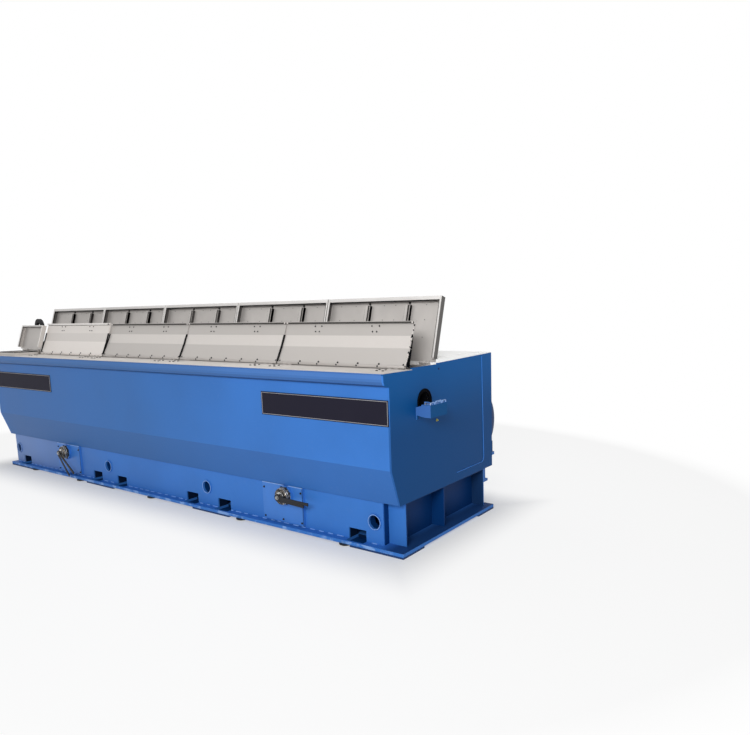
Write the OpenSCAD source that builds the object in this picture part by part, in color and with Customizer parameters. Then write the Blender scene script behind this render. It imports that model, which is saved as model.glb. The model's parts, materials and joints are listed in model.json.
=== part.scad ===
// Wet wire drawing machine with its splash guards up and its rear covers open.
// X runs along the wire towards the outlet, Y goes back from the front face, Z is up from the floor.

/* [Body] */
// Length of the body over its end plates
body_l = 5850; // [5400:50:6400]
// Depth of the body from front face to rear face
body_d = 1440; // [1360:10:1560]
// Height of the top rim over the floor
rim_z = 1320; // [1290:10:1380]
// Height of the flared rim
rim_h = 96; // [90:2:120]
// Height of the upright band of the rim
rim_fold = 56; // [44:2:64]
// How far the rim flares out over the front face
rim_out = 61; // [45:1:75]
// Height where the front face folds in
fold_z = 640; // [600:10:680]
// How far the lower band runs in under the face
band_in = 85; // [60:5:110]
// Distance of the front edge of the gear deck behind the front face
deck_y = 640; // [636:2:660]
// Height of the front edge of the gear deck over the rim
deck_step = 53; // [45:1:60]
// Rise of the gear deck towards the rear
deck_rise = 3; // [0:1:20]
// Height of the end plates over the rim beside the tank
weir_h = 14; // [8:1:20]
// Thickness of the front and rear shell
shell_t = 12; // [8:1:16]
// Thickness of the end plates
end_t = 16; // [12:1:20]

/* [Base] */
// Height of the base under the body
base_h = 370; // [340:5:400]
// Set back of the base wall behind the lower edge of the band
base_set = 19; // [14:1:40]
// Thickness of the base walls
wall_t = 12; // [8:1:16]
// Thickness of the base plate
plate_t = 25; // [20:1:30]
// Thickness of the sole plates
sole_t = 15; // [10:1:20]
// How far the base plate stands out past the base walls
flange_out = 62; // [50:2:80]
// Overhang of the body past the base at the outlet end
outlet_gap = 15; // [5:5:40]
// Overhang of the body past the base at the inlet end
inlet_gap = 60; // [40:5:80]
// Length of the open corner at the outlet end
corner_l = 158; // [130:2:180]
// Depth of the open corner
corner_d = 64; // [50:2:90]
// How far the end ribs stand out past the end panel
rib_out = 115; // [80:5:125]
// Radius of the lifting holes
lift_r = 52; // [40:1:60]
// Height of the lifting holes
lift_z = 208; // [200:1:230]
// Width of the jacking pockets
pocket_w = 168; // [140:1:190]
// Height of the jacking pockets
pocket_h = 85; // [70:1:90]

/* [Tank] */
// Height of the wire over the floor
wire_z = 1080; // [1060:5:1100]
// Distance of the wire behind the front face
wire_y = 415; // [400:5:430]
// Height of the tank floor over the fold of the front face
tank_up = 20; // [15:1:24]
// Face of the gear housing towards the tank
housing_y = 700; // [690:5:720]
// Thickness of the gear housing wall
housing_t = 20; // [15:1:25]
// Radius of the drawing capstans
drum_r = 195; // [170:5:200]
// Working width of a capstan
drum_w = 96; // [80:2:110]
// Number of capstans
drum_count = 9; // [6:1:9]
// Distance between capstans
drum_pitch = 600; // [560:10:620]
// Radius of the capstan shafts
shaft_r = 38; // [30:1:45]

/* [Guards] */
// Distance of the guard hinges behind the front face
guard_y = 248; // [240:2:266]
// Rise of a guard over its hinge
guard_h = 328; // [310:2:340]
// How far the top of a guard leans back
guard_lean = 136; // [120:2:150]
// Turn of the first guard towards the front
first_turn = 4; // [0:1:8]
// Thickness of guard and cover sheet
sheet_t = 4; // [3:1:5]
// Length of the inlet pan
pan_l = 490; // [450:5:510]
// Height of the inlet pan over its hinge
pan_h = 288; // [270:2:300]
// Depth of the flanges of the inlet pan
pan_d = 38; // [30:1:40]
// Angle at which the open inlet pan leans back
pan_lean = 17; // [12:1:22]
// Height of the coaming that the inlet pan closes over
coaming_h = 34; // [24:1:36]

/* [Covers] */
// Distance of the cover hinges behind the front face
cover_y = 612; // [606:2:616]
// Height of a rear cover
cover_h = 515; // [490:1:520]
// Depth of the flanges of a cover
cover_d = 45; // [35:1:48]
// Angle at which the open covers lean back
cover_lean = 16; // [8:1:18]

/* [Fittings] */
// Radius of the hinge pins
pin_r = 5; // [4:0.5:6]
// Play of a hinge pin in its knuckle
pin_play = 0.3; // [0.2:0.1:0.5]
// Width of a drain plate
drain_w = 460; // [400:10:480]
// Distance of the left drain plate from the inlet end of the body
drain_left = 1319; // [1290:1:1350]
// Distance of the right drain plate from the outlet end of the body
drain_right = 1193; // [1160:1:1220]
// Radius of the drain valve body
valve_r = 66; // [55:1:75]
// Length of a valve lever
lever_l = 334; // [280:2:350]
// Angle of the left lever under the level
lever_drop = 41; // [30:1:50]
// Radius of the wire outlet
outlet_r = 88; // [70:1:95]
// How far the outlet bracket stands out
bracket_out = 129; // [110:1:150]
// Height of the guide ring over the rim
ring_rise = 325; // [300:5:350]
// Width of a sign plate
sign_w = 1270; // [1000:10:1300]
// Height of a sign plate
sign_h = 182; // [150:2:200]

/* [Drive] */
// Radius of the motor body
motor_r = 320; // [280:5:340]
// Length of the motor body
motor_l = 1150; // [900:10:1300]
// Height of the motor axis
motor_z = 660; // [650:5:700]
// Distance of the motor end from the outlet end of the body
motor_in = 351; // [300:1:500]
// Gap between the body and the motor
motor_gap = 91; // [70:1:120]

/* [Hidden] */
$fn = 48;
small = 0.3;
clear = 8;
x_end = body_l / 2;
x_in = x_end - end_t;
base_y = band_in + base_set;
base_top = base_h - small;
plate_top = sole_t + plate_t;
base_x0 = -(x_end - inlet_gap);
base_x1 = x_end - outlet_gap;
front_x1 = base_x1 - corner_l;
base_rear = body_d - 130;
plate_x = [base_x0 - 15, base_x1 + flange_out];
plate_y = [base_y - flange_out, base_rear + flange_out];
rib_y = base_y + 564;
inlet_rib_out = 60;
wall_mid = (base_x0 + front_x1) / 2;
wall_half = (front_x1 - base_x0) / 2;
lift_x = [for (s = [-1, 1], d = [800, wall_half - 80]) wall_mid + s * d];
collar_t = 9;
pocket_x = [for (s = [-1, 1], d = [575, 1025, wall_half - 250]) wall_mid + s * d];
lining_t = 10;
lining_d = 90;
notch_edge = 20;
foot_r = 52;
foot_in = 30;
pad_l = 500;
pad_d = 260;
foot_x = concat([for (s = [-1, 0, 1]) wall_mid + s * 1294],
                [plate_x[0] + pad_l + foot_r + 10, plate_x[1] - pad_l - foot_r - 10]);
rim_lean = 3;
rim_turn = [12, 22];
lip_w = 36;
tank_z = fold_z + tank_up;
drum_z = wire_z - drum_r;
drum_x = [for (i = [0 : drum_count - 1]) (i - (drum_count - 1) / 2) * drum_pitch];
drum_rim = 20;
deck_t = [27, 5];
deck_tab = 40;
rim_t = 10;
bead = 0.1;
knuckle_r = 10;
knuckle_l = 30;
hinge_gap = 1;
guard_margin = 40;
pan_margin = 100;
pan_lip = 16;
side_lip = 17;
cover_lip = 29;
guard_l = (body_l - guard_margin - pan_margin - pan_l - 4 * clear) / 4;
guard_z = rim_z + sheet_t + knuckle_r + 2;
guard_pitch = guard_l + clear;
guard_x = [for (i = [0 : 3]) x_end - guard_margin - guard_l / 2 - (3 - i) * guard_pitch];
pan_x = -x_end + pan_margin + pan_l / 2;
pan_z = rim_z + sheet_t + pan_d + 8;
rail_lap = 18;
apron_drop = 60;
apron_y = guard_y + 24;
cover_margin = end_t + 5.5;
cover_l = (body_l - 2 * cover_margin - 4 * clear) / 5;
cover_z = rim_z + knuckle_r + 10;
cover_pitch = cover_l + clear;
cover_x = [for (i = [0 : 4]) (i - 2) * cover_pitch];
drain_x = [-x_end + drain_left, x_end - drain_right];
drain_t = 20;
drain_y = base_y - drain_t;
valve_x = [drain_x[0] - 24, drain_x[1] + 43];
valve_z = [282, 288];
valve_y = 20;
stem_r = 9;
lever_y = -10;
lever_t = 10;
lever_fork = [6.3, 0.8];
lever_apart = [27, 17];
sign_drop = [372, 368];
door_pitch = 1120;
door_w = 820;
door_h = 560;
motor_x1 = x_end - motor_in;
motor_y = body_d + motor_gap + motor_r;
shaft_gap = 20;
foot_drop = 20;
x_right = x_end + bracket_out;
y_front = -rim_out;
y_rear = motor_y + motor_r;

// Height of the underside of the gear deck over a place between front and rear.
function deck_under(y) =
    let (back = (y - deck_y) / (body_d - deck_y))
    rim_z + deck_step + deck_rise * back - deck_t[0] * (1 - back) - deck_t[1] * back;

// Height of the top of the gear deck over such a place.
function deck_top(y) = rim_z + deck_step + deck_rise * (y - deck_y) / (body_d - deck_y);

// Height of the top of a wall that carries the deck on a thin bead.
function seat(y) = deck_under(y) - bead;

// Everything is drawn from the front face and then set on the middle of the whole outline.
module place() {
    translate([-(x_right - x_end) / 2, -(y_front + y_rear) / 2, 0]) children();
}

// A box from one corner to the opposite one.
module block(a, b) {
    translate(a) cube(b - a);
}

// A profile drawn in Y and Z, run along X.
module along(x0, x1) {
    translate([x0, 0, 0]) rotate([90, 0, 90]) linear_extrude(x1 - x0) children();
}

// A round bar along X.
module bar_x(x0, x1, y, z, r) {
    translate([x0, y, z]) rotate([0, 90, 0]) cylinder(h = x1 - x0, r = r);
}

// A round bar along Y.
module bar_y(x, y0, y1, z, r) {
    translate([x, y1, z]) rotate([90, 0, 0]) cylinder(h = y1 - y0, r = r);
}

// Base

module base_plate() {
    color("royalblue") place()
        difference() {
            block([plate_x[0], plate_y[0], sole_t], [plate_x[1], plate_y[1], plate_top]);
            for (x = pocket_x) {
                block([x - pocket_w / 2, plate_y[0] + notch_edge, sole_t - 1],
                      [x + pocket_w / 2, base_y + wall_t + lining_d, plate_top + 1]);
                block([x - pocket_w / 2, base_rear - wall_t - lining_d, sole_t - 1],
                      [x + pocket_w / 2, plate_y[1] - notch_edge, plate_top + 1]);
            }
        }
}

module sole_plates() {
    spots = [plate_x[0] + pad_l / 2, wall_mid - 900, wall_mid + 900, plate_x[1] - pad_l / 2];
    color("midnightblue") place()
        for (x = spots, y = [plate_y[0], plate_y[1] - pad_d])
            block([x - pad_l / 2, y, 0], [x + pad_l / 2, y + pad_d, sole_t]);
}

// Round levelling feet whose screws end inside the base plate.
module levelling_screws() {
    color("dimgray") place()
        for (x = foot_x, y = [plate_y[0] + foot_in, plate_y[1] - foot_in])
            translate([x, y, 0])
                rotate_extrude()
                    polygon([[0, 0], [foot_r - 12, 0], [foot_r - 9, 5], [foot_r, 7], [foot_r, sole_t],
                             [0, sole_t]]);
}

// A long base wall between two ends, with collared lifting holes and lined jacking pockets.
module base_wall(x1, y, inward) {
    face = [y, y + wall_t * inward];
    collar = [y - collar_t * inward, face[1]];
    lining = [face[1] - inward, face[1] + lining_d * inward];
    difference() {
        union() {
            block([base_x0, min(face), plate_top], [x1, max(face), base_top]);
            for (x = lift_x) bar_y(x, min(collar), max(collar), lift_z, lift_r + collar_t);
            for (x = pocket_x)
                block([x - pocket_w / 2 - lining_t, min(lining), plate_top],
                      [x + pocket_w / 2 + lining_t, max(lining), plate_top + pocket_h + lining_t]);
        }
        for (x = lift_x) bar_y(x, min(collar) - 1, max(collar) + 1, lift_z, lift_r);
        for (x = pocket_x)
            block([x - pocket_w / 2, min(concat(face, lining)) - 1, plate_top - 1],
                  [x + pocket_w / 2, max(concat(face, lining)) + 1, plate_top + pocket_h]);
    }
}

module base_front_wall() {
    color("cornflowerblue") place() base_wall(front_x1, base_y, 1);
}

module base_rear_wall() {
    color("royalblue") place() base_wall(base_x1, base_rear, -1);
}

// Ribs stand proud of the recessed panel of a base end.
module base_outlet_end() {
    corner_y = base_y + corner_d;
    panel_x = base_x1 - rib_out;
    color("midnightblue") place()
        union() {
            block([front_x1 - wall_t, base_y + wall_t, plate_top], [front_x1, corner_y + wall_t, base_top]);
            block([front_x1 - wall_t, corner_y, plate_top], [base_x1, corner_y + wall_t, base_top]);
            block([panel_x - wall_t, corner_y, plate_top], [panel_x, base_rear - wall_t, base_top]);
            block([panel_x - wall_t, rib_y, plate_top], [base_x1, rib_y + wall_t, base_top]);
            block([panel_x - wall_t, corner_y, base_top - wall_t], [base_x1, base_rear - wall_t, base_top]);
        }
}

module base_inlet_end() {
    panel_x = base_x0 + inlet_rib_out;
    inner_y = base_y + wall_t;
    color("midnightblue") place()
        union() {
            block([panel_x, inner_y, plate_top], [panel_x + wall_t, base_rear - wall_t, base_top]);
            block([base_x0, rib_y, plate_top], [panel_x + wall_t, rib_y + wall_t, base_top]);
            block([base_x0, inner_y, base_top - wall_t], [panel_x + wall_t, base_rear - wall_t, base_top]);
        }
}

// Body

// Outer side of the rim from its top down to the face.
rim_side = [
    [-rim_out, rim_z], [-rim_out + rim_lean, rim_z - rim_fold],
    [-rim_out + rim_turn[0], rim_z - rim_fold - rim_turn[1]], [0, rim_z - rim_h]
];

// Outline of the body seen along the wire, from the rim round to the rear.
end_outline = concat(rim_side, [
    [0, fold_z], [band_in, base_h], [body_d, base_h], [body_d, seat(body_d)],
    [deck_y - deck_tab, seat(deck_y - deck_tab)], [deck_y - deck_tab, rim_z + weir_h],
    [apron_y, rim_z + weir_h], [apron_y, rim_z]
]);

module front_shell() {
    outer = concat(rim_side, [[0, fold_z], [band_in, base_h]]);
    inner = [
        [band_in + shell_t, base_h], [shell_t, fold_z], [shell_t, rim_side[3][1] + shell_t * 0.7],
        rim_side[2] + [shell_t * 0.5, shell_t], rim_side[1] + [shell_t, 0],
        [shell_t - rim_out, rim_z - rim_t], [lip_w - rim_out, rim_z - rim_t], [lip_w - rim_out, rim_z]
    ];
    color("cornflowerblue") place() along(-x_in, x_in) polygon(concat(outer, inner));
}

module outlet_end_plate() {
    color("steelblue") place()
        difference() {
            along(x_in, x_end) polygon(end_outline);
            bar_x(x_in - 1, x_end + 1, wire_y, wire_z, outlet_r);
        }
}

module inlet_end_plate() {
    color("steelblue") place()
        difference() {
            along(-x_end, -x_in) polygon(end_outline);
            bar_x(-x_end - 1, -x_in + 1, wire_y, wire_z, outlet_r * 0.6);
        }
}

module rear_shell() {
    inner_y = body_d - shell_t;
    color("royalblue") place()
        along(-x_in, x_in)
            polygon([[inner_y, base_h + wall_t], [body_d, base_h + wall_t],
                     [body_d, seat(body_d)], [inner_y, seat(inner_y)]]);
}

// Doors to the gears, each with louvres, two hinges and a turning latch.
module rear_doors() {
    door_t = 10;
    door_z = base_h + 200;
    louvre = [door_w * 0.5, 14, 22];
    for (i = [-2 : 0])
        color("royalblue") place()
            translate([i * door_pitch, body_d, door_z])
                union() {
                    block([-door_w / 2, 0, 0], [door_w / 2, door_t, door_h]);
                    for (k = [0 : 5])
                        translate([0, door_t, 120 + k * 46])
                            rotate([90, 0, 90]) translate([0, 0, -louvre[0] / 2])
                                linear_extrude(louvre[0])
                                    polygon([[-1, 0], [louvre[1], 0], [-1, louvre[2]]]);
                    for (z = [90, door_h - 90])
                        translate([-door_w / 2 - 8, 8, z - 40]) cylinder(h = 80, r = 8);
                    bar_y(door_w / 2 - 50, 0, door_t + 12, door_h / 2, 18);
                    block([door_w / 2 - 56, door_t, door_h / 2 - 45],
                          [door_w / 2 - 44, door_t + 24, door_h / 2 + 45]);
                }
}

module belly_plate() {
    color("royalblue") place()
        block([-x_in, band_in + shell_t, base_h], [x_in, body_d, base_h + wall_t]);
}

module tank_floor() {
    color("silver") place()
        block([-x_in, shell_t, tank_z - wall_t], [x_in, housing_y, tank_z]);
}

module housing_wall() {
    back_y = housing_y + housing_t;
    color("slategray") place()
        along(-x_in, x_in)
            polygon([[housing_y, base_h + wall_t], [back_y, base_h + wall_t],
                     [back_y, seat(back_y)], [housing_y, seat(housing_y)]]);
}

// A bent bar handle along X that stands on the place it is drawn at.
module handle(l, h, r) {
    for (s = [-1, 1]) translate([s * (l / 2 - r), 0, 0]) cylinder(h = h, r = r);
    bar_x(-l / 2, l / 2, 0, h - r, r);
}

// A wedge between the deck's underside and its top, from one place back to another.
module deck_wedge(x0, x1, y0, y1) {
    along(x0, x1)
        polygon([[y0, deck_under(y0)], [y1, deck_under(y1)], [y1, deck_top(y1)], [y0, deck_top(y0)]]);
}

// The deck thins out to the rear, has a fold down to the rail, and carries a lid over each gear case.
module gear_deck() {
    lid_w = cover_pitch - 123;
    lid_y = [housing_y + 70, body_d - 60];
    lid_t = 4;
    handle_y = (lid_y[0] + lid_y[1]) / 2;
    color("gainsboro") place()
        union() {
            deck_wedge(-x_end, x_end, deck_y, body_d);
            for (x = [-x_end, x_in]) deck_wedge(x, x + end_t, deck_y - deck_tab, deck_y + 1);
            block([-x_in, deck_y, rim_z + sheet_t], [x_in, deck_y + 6, deck_under(deck_y) + 2]);
            for (x = cover_x) {
                along(x - lid_w / 2, x + lid_w / 2)
                    polygon([for (p = [[0, 0], [1, 0], [1, 1], [0, 1]])
                        [lid_y[p[0]], deck_top(lid_y[p[0]]) - 1 + (lid_t + 1) * p[1]]]);
                for (s = [-1, 1])
                    translate([x + s * lid_w * 0.2, handle_y, deck_top(handle_y)])
                        handle(140, 44, 7);
            }
        }
}

// One hinge: two fixed knuckles on a leaf with the pin through them.
module fixed_hinge(x, y, z, foot_z) {
    leaf_l = 3 * knuckle_l;
    for (s = [-1, 1])
        difference() {
            union() {
                bar_x(x + s * knuckle_l - knuckle_l / 2, x + s * knuckle_l + knuckle_l / 2, y, z, knuckle_r);
                block([x + s * knuckle_l - knuckle_l / 2, y - knuckle_r * 0.7, foot_z],
                      [x + s * knuckle_l + knuckle_l / 2, y + knuckle_r * 0.7, z]);
            }
            bar_x(x + s * knuckle_l - knuckle_l, x + s * knuckle_l + knuckle_l, y, z, pin_r);
        }
    bar_x(x - leaf_l / 2, x + leaf_l / 2, y, z, pin_r);
}

// Hinge places over a panel of a given length, one near either end.
function hinge_x(x, l) = [x - l / 2 + 110, x + l / 2 - 110];

module apron() {
    hatch_half = pan_l / 2 - side_lip - 8;
    hatch = [[pan_x - hatch_half, guard_y - pan_h + pan_lip + 6], [pan_x + hatch_half, guard_y - 24]];
    color("gainsboro") place()
        difference() {
            union() {
                block([-x_end, -rim_out, rim_z], [x_end, apron_y, rim_z + sheet_t]);
                block([-x_in, apron_y - sheet_t, rim_z - apron_drop], [x_in, apron_y, rim_z]);
                block([hatch[0][0], hatch[0][1], rim_z],
                      [hatch[1][0], hatch[1][1], rim_z + sheet_t + coaming_h]);
                for (g = guard_x)
                    block([g - guard_l / 2 + sheet_t + 7, guard_y + 16, rim_z],
                          [g + guard_l / 2 - sheet_t - 7, guard_y + 19, guard_z + 18]);
                for (g = guard_x, x = hinge_x(g, guard_l))
                    fixed_hinge(x, guard_y, guard_z, rim_z + sheet_t);
                for (x = hinge_x(pan_x, pan_l))
                    fixed_hinge(x, guard_y, pan_z, rim_z + sheet_t);
            }
            block([hatch[0][0] + sheet_t, hatch[0][1] + sheet_t, rim_z - 1],
                  [hatch[1][0] - sheet_t, hatch[1][1] - sheet_t, rim_z + sheet_t + coaming_h + 1]);
        }
}

module hinge_rail() {
    rail_y = cover_y - rail_lap;
    color("gainsboro") place()
        union() {
            block([-x_in, rail_y, rim_z - apron_drop], [x_in, housing_y, rim_z + sheet_t]);
            for (c = cover_x, x = hinge_x(c, cover_l))
                fixed_hinge(x, cover_y, cover_z, rim_z + sheet_t);
        }
}

// Guards and covers

// The moving knuckle of a hinge about the local origin.
module moving_knuckle(x) {
    len = knuckle_l - 2 * hinge_gap;
    difference() {
        union() {
            bar_x(x - len / 2, x + len / 2, 0, 0, knuckle_r);
            children();
        }
        bar_x(x - len, x + len, 0, 0, pin_r + pin_play);
    }
}

// A guard is a sheet folded in three bands between two straight cheeks.
module guard(x) {
    foot = 14;
    a = [0, foot];
    b = [guard_lean * 0.43, guard_h * 0.405];
    c = [guard_lean * 0.70, guard_h * 0.675];
    d = [guard_lean, guard_h];
    back = [sheet_t, 0];
    rail = 18;
    color("gainsboro")
        union() {
            along(x - guard_l / 2, x + guard_l / 2)
                union() {
                    polygon([a, b, c, d, d + back, c + back, b + back, a + back]);
                    translate([d[0] - rail, d[1] - 14]) square([rail + sheet_t, 14]);
                }
            for (s = [-1, 1])
                along(x + s * (guard_l / 2 - sheet_t / 2) - sheet_t / 2,
                      x + s * (guard_l / 2 - sheet_t / 2) + sheet_t / 2)
                    polygon([a, d, d + [10, 0], a + [34, 0]]);
            for (h = hinge_x(x, guard_l))
                moving_knuckle(h)
                    block([h - knuckle_l / 2 + hinge_gap, -3, 0],
                          [h + knuckle_l / 2 - hinge_gap, 5, foot + 4]);
        }
}

module guard_at(i) {
    place()
        translate([0, guard_y, guard_z])
            rotate([i == 0 ? first_turn : 0, 0, 0])
                guard(guard_x[i]);
}

module guard_1() { guard_at(0); }
module guard_2() { guard_at(1); }
module guard_3() { guard_at(2); }
module guard_4() { guard_at(3); }

// A pan is a plate with a flange all round that looks to the front.
module pan(x, l, h, depth, lip) {
    foot = 14;
    union() {
        block([x - l / 2, 0, foot], [x + l / 2, sheet_t, h]);
        for (s = [-1, 1])
            block([x + s * (l / 2 - side_lip / 2) - side_lip / 2, -depth, foot + 14],
                  [x + s * (l / 2 - side_lip / 2) + side_lip / 2, -depth + sheet_t, h]);
        for (s = [-1, 1])
            block([x + s * (l / 2 - sheet_t / 2) - sheet_t / 2, -depth, foot + 14],
                  [x + s * (l / 2 - sheet_t / 2) + sheet_t / 2, 0, h]);
        block([x - l / 2, -depth, h - sheet_t], [x + l / 2, 0, h]);
        block([x - l / 2, -depth, h - lip], [x + l / 2, -depth + sheet_t, h]);
        for (hx = hinge_x(x, l))
            moving_knuckle(hx)
                block([hx - knuckle_l / 2 + hinge_gap, -3, 0],
                      [hx + knuckle_l / 2 - hinge_gap, sheet_t, foot + 4]);
    }
}

module inlet_pan() {
    color("gainsboro") place()
        translate([0, guard_y, pan_z])
            rotate([-pan_lean, 0, 0])
                pan(pan_x, pan_l, pan_h, pan_d, pan_lip);
}

module cover(x) {
    rib_w = 46;
    rib_d = 30;
    rib_top = cover_h - 58;
    rib_slot = 16;
    color("gainsboro")
        union() {
            pan(x, cover_l, cover_h, cover_d, cover_lip);
            for (t = [0.37, 0.72], s = [-1, 1])
                block([x + (t - 0.5) * cover_l + s * rib_w / 2 - sheet_t / 2, -rib_d, 30],
                      [x + (t - 0.5) * cover_l + s * rib_w / 2 + sheet_t / 2, 0, rib_top]);
            for (t = [0.37, 0.72])
                block([x + (t - 0.5) * cover_l - rib_w / 2, -rib_d, 30],
                      [x + (t - 0.5) * cover_l + rib_w / 2 - sheet_t - rib_slot, -rib_d + sheet_t, rib_top]);
        }
}

module cover_at(i) {
    place()
        translate([0, cover_y, cover_z])
            rotate([-cover_lean, 0, 0])
                cover(cover_x[i]);
}

module cover_1() { cover_at(0); }
module cover_2() { cover_at(1); }
module cover_3() { cover_at(2); }
module cover_4() { cover_at(3); }
module cover_5() { cover_at(4); }

// Drawing train

module capstans() {
    half = drum_w / 2;
    color("silver") place()
        for (x = drum_x)
            translate([x, wire_y, drum_z])
                rotate([90, 0, 0])
                    difference() {
                        rotate_extrude($fn = 96)
                            polygon([
                                [0, half + 10], [90, half + 10], [100, half - 6], [drum_r - 25, half - 6],
                                [drum_r, half + 2], [drum_r + drum_rim, half + 2],
                                [drum_r + drum_rim, half - 8], [drum_r, half - 14], [drum_r - 4, -half + 14],
                                [drum_r + drum_rim, -half + 6], [drum_r + drum_rim, -half - 4],
                                [drum_r - 30, -half - 4], [110, -half - 30], [0, -half - 30]
                            ]);
                        translate([0, 0, -half - 31]) cylinder(h = 21, r = shaft_r);
                    }
}

module capstan_shafts() {
    shaft_y = wire_y + drum_w / 2 + 10;
    color("gray") place()
        for (x = drum_x)
            union() {
                bar_y(x, shaft_y, housing_y, drum_z, shaft_r);
                bar_y(x, housing_y - 30, housing_y, drum_z, 120);
                bar_y(x, housing_y - 60, housing_y - 30, drum_z, 75);
            }
}

module die_holders() {
    color("slategray") place()
        for (i = [0 : drum_count - 2]) {
            x = (drum_x[i] + drum_x[i + 1]) / 2;
            difference() {
                union() {
                    block([x - 40, wire_y - 45, wire_z - 45], [x + 40, wire_y + 45, wire_z + 45]);
                    block([x - 25, wire_y + 45, wire_z - 40], [x + 25, housing_y, wire_z - 5]);
                }
                bar_x(x - 41, x + 41, wire_y, wire_z, 14);
            }
        }
}

// Pipe that wets the capstans, held by clips on the wall of the gear housing.
module spray_pipe() {
    pipe_r = 17;
    pipe_y = housing_y - 38;
    pipe_z = wire_z + 105;
    color("silver") place()
        union() {
            bar_x(-x_in, x_in, pipe_y, pipe_z, pipe_r);
            for (x = drum_x) {
                translate([x, pipe_y, pipe_z]) rotate([130, 0, 0]) cylinder(h = 52, r = 9);
                translate([x, pipe_y, pipe_z]) rotate([130, 0, 0]) cylinder(h = 34, r = 13, $fn = 6);
                block([x + 90, pipe_y, pipe_z - pipe_r - 8], [x + 120, housing_y, pipe_z + pipe_r + 8]);
            }
        }
}

// Drains

// A cover plate with a flanged butterfly valve and the stem of its lever.
module drain_valve(x, valve_x, valve_z) {
    flange_r = valve_r + 14;
    union() {
        block([x - drain_w / 2, drain_y, plate_top + 16], [x + drain_w / 2, base_y, base_top - 2]);
        translate([valve_x, drain_y, valve_z]) rotate([90, 0, 0])
            rotate_extrude()
                polygon([[0, 0], [flange_r, 0], [flange_r, 20], [valve_r * 0.66, 22], [valve_r * 0.66, 29],
                         [valve_r - 5, 29], [valve_r, 34], [valve_r, 58], [valve_r - 6, 64], [0, 64]]);
        bar_y(valve_x, lever_y + lever_t + 1, valve_y, valve_z, 22);
        bar_y(valve_x, lever_y - 4, valve_y, valve_z, stem_r);
    }
}

module drain_valve_left() {
    color("silver") place() drain_valve(drain_x[0], valve_x[0], valve_z[0]);
}

module drain_valve_right() {
    color("silver") place() drain_valve(drain_x[1], valve_x[1], valve_z[1]);
}

// A lever lies along X from its stem and ends in two bars that spread.
module lever(fork, apart) {
    hub_r = 30;
    bar_h = 22;
    color("black")
        difference() {
            union() {
                bar_y(0, 0, lever_t, 0, hub_r);
                rotate([0, -fork, 0]) block([0, 1, -bar_h / 2], [lever_l, lever_t - 1, bar_h / 2]);
                translate([0, 0, -apart]) rotate([0, fork, 0])
                    block([0, 2, -bar_h / 2], [lever_l * 0.86, lever_t - 2, bar_h / 2]);
            }
            bar_y(0, -1, lever_t + 1, 0, stem_r + pin_play);
        }
}

module lever_at(i, drop) {
    place()
        translate([valve_x[i], lever_y, valve_z[i]])
            rotate([0, drop, 0])
                lever(lever_fork[i], lever_apart[i]);
}

module valve_lever_left() { lever_at(0, lever_drop); }
module valve_lever_right() { lever_at(1, 2); }

// Inlet and outlet

module outlet_ring() {
    color("black") place()
        translate([x_in, wire_y, wire_z]) rotate([0, 90, 0])
            difference() {
                cylinder(h = end_t, r = outlet_r - small);
                translate([0, 0, -1]) cylinder(h = end_t + 2, r = outlet_r - 20);
            }
}

// Two cheeks on a wall flange carry a slotted table under the wire, with a guide staple on it.
module outlet_bracket() {
    t = 8;
    y0 = wire_y - 113;
    y1 = wire_y + 105;
    top = wire_z - 12;
    low = wire_z - 103;
    bend = 78;
    x_out = x_end + bracket_out;
    cheek = [[x_end, low + 15], [x_end + bend, low], [x_out, low], [x_out, top],
             [x_end + bend, top - 2], [x_end, top - 20]];
    staple = [x_out - 57, x_out - 7];
    color("cornflowerblue") place()
        difference() {
            union() {
                block([x_end, y0, low - 20], [x_end + t, y1, top - 20]);
                for (y = [y0, y1 - t])
                    translate([0, y + t, 0]) rotate([90, 0, 0]) linear_extrude(t) polygon(cheek);
                block([x_end + 50, y0, top - t], [x_out, y1, top]);
                block([x_out - t, y0, low], [x_out, y1, top]);
                block([staple[0], y0 + 4, top - 1], [staple[1], y0 + 14, top + 24]);
            }
            block([staple[0] + 6, y0 + 3, top], [staple[1] - 6, y0 + 15, top + 18]);
            for (i = [0 : 3])
                block([x_end + 62, y0 + 34 + i * 44, top - t - 1], [x_out - 20, y0 + 56 + i * 44, top + 1]);
        }
}

module inlet_ring() {
    ring_x = pan_x - 60;
    ring_y = wire_y - 15;
    ring_z = rim_z + ring_rise;
    ring_r = 85;
    color("gray") place()
        difference() {
            union() {
                bar_y(ring_x, ring_y - 15, ring_y + 15, ring_z, ring_r);
                block([ring_x - 30, ring_y - 12, rim_z], [ring_x + 30, ring_y + 12, ring_z - 50]);
                block([ring_x - 60, ring_y - 40, rim_z - 20], [ring_x + 60, cover_y - rail_lap, rim_z]);
            }
            bar_y(ring_x, ring_y - 16, ring_y + 16, ring_z, ring_r * 0.5);
        }
}

// Signs

// Sign plates on the face, near either end.
module sign(x0, drop) {
    block([x0, -4, rim_z - drop], [x0 + sign_w - 10, 0, rim_z - drop + sign_h]);
}

module sign_left() {
    color("black") place() sign(-x_end + 10, sign_drop[0]);
}

module sign_right() {
    color("black") place() sign(x_end - sign_w, sign_drop[1]);
}

// Drive

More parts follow.
